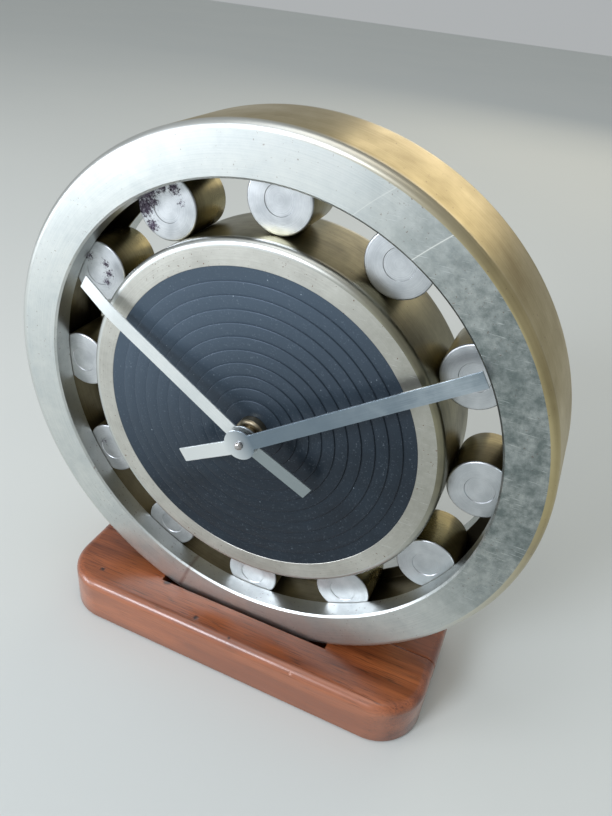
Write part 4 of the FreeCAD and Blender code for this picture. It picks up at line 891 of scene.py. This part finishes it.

# %% [markdown]
# ## Varnished mahogany
# The base is a red-brown hardwood under a worn semi-gloss varnish. Its grain runs along the boards:
# broad darker bands about a centimetre wide, dark streaks, and fine dark pores a few tenths of a
# millimetre wide and some ten millimetres long. The foot is darker, the front and its upper edge are
# painted paler as painted light, and it has a few old dents.


# %% Varnished mahogany
DENTS = (  # a place on the base and a size, in mm, and a tint
    (-73.2, -29.9, 24.1, 1.3, "#2c1410"), (-17.2, -33.7, 24.1, 1.7, "#31160f"),
    (2.3, -36.8, 24.0, 0.8, "#2c1410"), (34.0, -39.2, 24.0, 1.0, "#2c1410"),
    (34.6, -40, 22.4, 1.1, "#d09a84"), (-40.5, -21.6, 24.1, 2.2, "#2c140e"),
)


def mahogany(name, shift):
    """A board's wood; the shift in metres makes its grain another than the other board's."""
    made, tree = new_material(name, IOR=1.5, Coat_Weight=0.7, Coat_Roughness=0.22)
    place = own_place(tree, (0, shift, 0))
    wood, grain = "#a35a32", {}
    for layer, stretch, tint, low, high, most, noise in (
        ("bands", (0.012, 0.09, 0.09), "#6f3519", 0.34, 0.66, 1.0, {"Detail": 4, "Distortion": 0.6}),
        ("streaks", (0.03, 1.6, 1.6), "#4e2410", 0.42, 0.72, 0.6, {"Detail": 4, "Roughness": 0.7}),
        ("pores", (0.1, 2.6, 2.6), "#2e140b", 0.58, 0.7, 0.75, {"Detail": 2}),
    ):
        along = own_place(tree, (0, shift, 0), stretch)
        found = add(tree, NOISE, {"Vector": along, "Scale": 1, **noise})
        grain[layer] = add(tree, RANGE, {0: found, 1: low, 2: high, 4: most})
        wood = add(tree, MIX, {0: grain[layer], 6: wood, 7: tint}, 2, data_type="RGBA")
    # The foot of the board is darker, over the lowest 5 mm.
    _, depth, up = add(tree, PARTS, {0: place}).node.outputs
    foot = add(tree, RANGE, {0: up, 1: 0.5, 2: 5.5, 3: 0.6, 4: 0})
    wood = add(tree, MIX, {0: foot, 6: wood, 7: "#35190e"}, 2, data_type="RGBA")
    # Painted light: the front face and its upper edge are painted paler, where the light falls on them and
    # glints along the edge.
    front = -36 - shift / MM
    painted_front_light = add(tree, RANGE, {0: depth, 1: front, 2: front - 2.5, 3: 0, 4: 0.25})
    wood = add(tree, MIX, {0: painted_front_light, 6: wood, 7: "#bd7f60"}, 2, data_type="RGBA")
    hollow = 0
    for x, y, z, size, tint in DENTS:
        middle = (x, y - shift / MM, z)
        away = add(tree, VECTOR_MATH, {0: place, 1: middle}, "Value", operation="DISTANCE")
        ragged = add(tree, NOISE, {"Vector": place, "Scale": 0.9, "Detail": 3})
        away = add(tree, MATH, {0: ragged, 1: 1.6 * size, 2: away}, operation="MULTIPLY_ADD")
        spot = add(tree, RANGE, {0: away, 1: 1.1 * size, 2: 1.9 * size, 3: 1, 4: 0})
        wood = add(tree, MIX, {0: spot, 6: wood, 7: tint}, 2, data_type="RGBA")
        hollow = add(tree, MATH, {0: spot, 1: hollow}, operation="MAXIMUM")
    clouds = add(tree, NOISE, {"Vector": place, "Scale": 0.08, "Detail": 5})
    rough = add(tree, RANGE, {0: clouds, 1: 0.3, 2: 0.7, 3: 0.28, 4: 0.42})
    height = add(tree, MATH, {0: grain["pores"], 1: -0.4, 2: grain["bands"]}, operation="MULTIPLY_ADD")
    height = add(tree, MATH, {0: hollow, 1: -5, 2: height}, operation="MULTIPLY_ADD")
    bump = add(tree, BUMP, {"Height": height, "Strength": 0.5, "Distance": 0.12 * MM})
    return fed(made, Base_Color=wood, Roughness=rough, Normal=bump)


front_wood = mahogany("varnished_mahogany_front", 0.0)
rear_wood = mahogany("varnished_mahogany_rear", 0.31)
print("made", front_wood.name, "and", rear_wood.name)

# %% [markdown]
# ## Pieces that keep their CAD shape
# A CAD mesh is loose triangles. A copy with its doubled points merged can take a small bevel and
# smooth shading, so that its edges catch the light as real ones do. The copy stays where it was.


# %% Pieces that keep their CAD shape
def softened(name, node, body, material, edge):
    """A merged copy of a CAD node with its edges rounded by a width in mm, or by none."""
    bm = bmesh.new()
    bm.from_mesh(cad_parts[node].data)
    bmesh.ops.remove_doubles(bm, verts=bm.verts, dist=LOOSE_WELD)
    bmesh.ops.dissolve_limit(bm, angle_limit=math.radians(0.2), verts=bm.verts, edges=bm.edges)
    if edge:
        rim = [item for item in bm.edges if item.is_manifold and item.calc_face_angle() > math.radians(35)]
        bmesh.ops.bevel(bm, geom=rim, offset=edge * MM, segments=2, affect="EDGES", clamp_overlap=True)
    bmesh.ops.triangulate(bm, faces=[face for face in bm.faces if len(face.verts) > 4])
    piece = finished(name, bm, [material], body, node, sharp=30)
    weighted = piece.modifiers.new("weighted_normals", "WEIGHTED_NORMAL")
    weighted.keep_sharp = True
    return piece


front_board = softened("front_board", "base_front_board", "root", front_wood, 0.25)
rear_board = softened("rear_board", "base_rear_board", "root", rear_wood, 0.25)
softened("brass_nut", "fixing_nut", "root", brass, 0.15)
softened("brass_bush", "threaded_bush", "root", brass, 0.1)
softened("arbor_with_pinion", "minute_arbor", "minute", bright_steel, 0.0)
print("boards:", len(front_board.data.polygons), "and", len(rear_board.data.polygons), "faces")

# %% [markdown]
# ## The movement's finishes
# A battery movement hangs behind the dial. Only its back shows, with the cell, its contacts and
# the setting knob, but every wheel inside has its real material too.

# %% The movement's finishes
FINISHES = {
    "dial_washer": rubber,
    "hour_wheel": acetal, "minute_wheel": acetal, "centre_wheel": acetal, "third_wheel": acetal,
    "second_wheel": acetal, "intermediate_wheel": acetal, "rotor": magnet,
    "middle_plate": acetal, "train_bridge": acetal, "coil_bobbin": acetal, "setting_knob": acetal,
    "stator": iron, "coil_core": iron, "coil_winding": copper, "circuit_board": board_green,
    "quartz_crystal": nickel, "battery": sleeve, "battery_contact_positive": nickel,
    "battery_contact_negative": nickel, "movement_front_case": case_black, "movement_back_cover": case_black,
}
for node, material in FINISHES.items():
    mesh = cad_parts[node].data
    mesh.materials.clear()
    mesh.materials.append(material)
print("finished", len(FINISHES), "CAD pieces")

# %% [markdown]
# ## Floor and light
# The floor is plain and pale, so that nothing competes with the clock. A soft window of light
# stands in front and draws the hands' shadows, and one low at the side makes the steel brightest
# on the left. A warm one behind lights the ring's outside, and the world adds an even glow. Metal
# mirrors its surroundings, so the floor is what most of the ring's face shows.


# %% Floor and light
FLOOR_HALF = 4.0         # metres
TARGET = (0, 0, 0.12)    # what the lamps are turned to, about the middle of the clock
floor_finish, tree = new_material("pale_matt_floor", Roughness=0.9)
place = add(tree, "ShaderNodeTexCoord", output="Object")
fine = add(tree, NOISE, {"Vector": place, "Scale": 3, "Detail": 2})
pale = add(tree, MIX, {0: fine, 6: "#d3d7d4", 7: "#d9dcd8"}, 2, data_type="RGBA")
floor_mesh = bpy.data.meshes.new("floor")
corners = [(x * FLOOR_HALF, y * FLOOR_HALF, 0) for x, y in ((-1, -1), (1, -1), (1, 1), (-1, 1))]
floor_mesh.from_pydata(corners, [], [(0, 1, 2, 3)])
floor_mesh.materials.append(fed(floor_finish, Base_Color=pale))
floor = bpy.data.objects.new("floor", floor_mesh)
bpy.context.scene.collection.objects.link(floor)


def area_light(name, place, size, power, tint="#ffffff"):
    """A soft lamp at a place in metres, with its size in metres and its power in watts."""
    lamp = bpy.data.lights.new(name, "AREA")
    lamp.shape = "RECTANGLE"
    lamp.size, lamp.size_y = size
    lamp.energy = power
    lamp.color = colour(tint)[:3]
    made = bpy.data.objects.new(name, lamp)
    made.location = place
    made.rotation_euler = (Vector(TARGET) - Vector(place)).to_track_quat("-Z", "Y").to_euler()
    bpy.context.scene.collection.objects.link(made)


area_light("window", (-0.6, -1.35, 0.85), (0.5, 0.5), 16, "#eef4ff")
area_light("side", (-1.25, -0.95, 0.3), (0.6, 0.5), 9, "#eef4ff")
area_light("ceiling", (-0.2, -0.3, 1.5), (1.0, 1.0), 4.5)
area_light("back", (0.15, 1.5, 0.75), (1.0, 0.5), 3.2, "#fff2d8")
world = bpy.data.worlds.new("soft_room")
world.use_nodes = True
bpy.context.scene.world = world
background = world.node_tree.nodes["Background"]
background.inputs["Color"].default_value = colour("#e4e8ea")
background.inputs["Strength"].default_value = 0.55
print("4 lamps and a floor", 2 * FLOOR_HALF, "m wide")
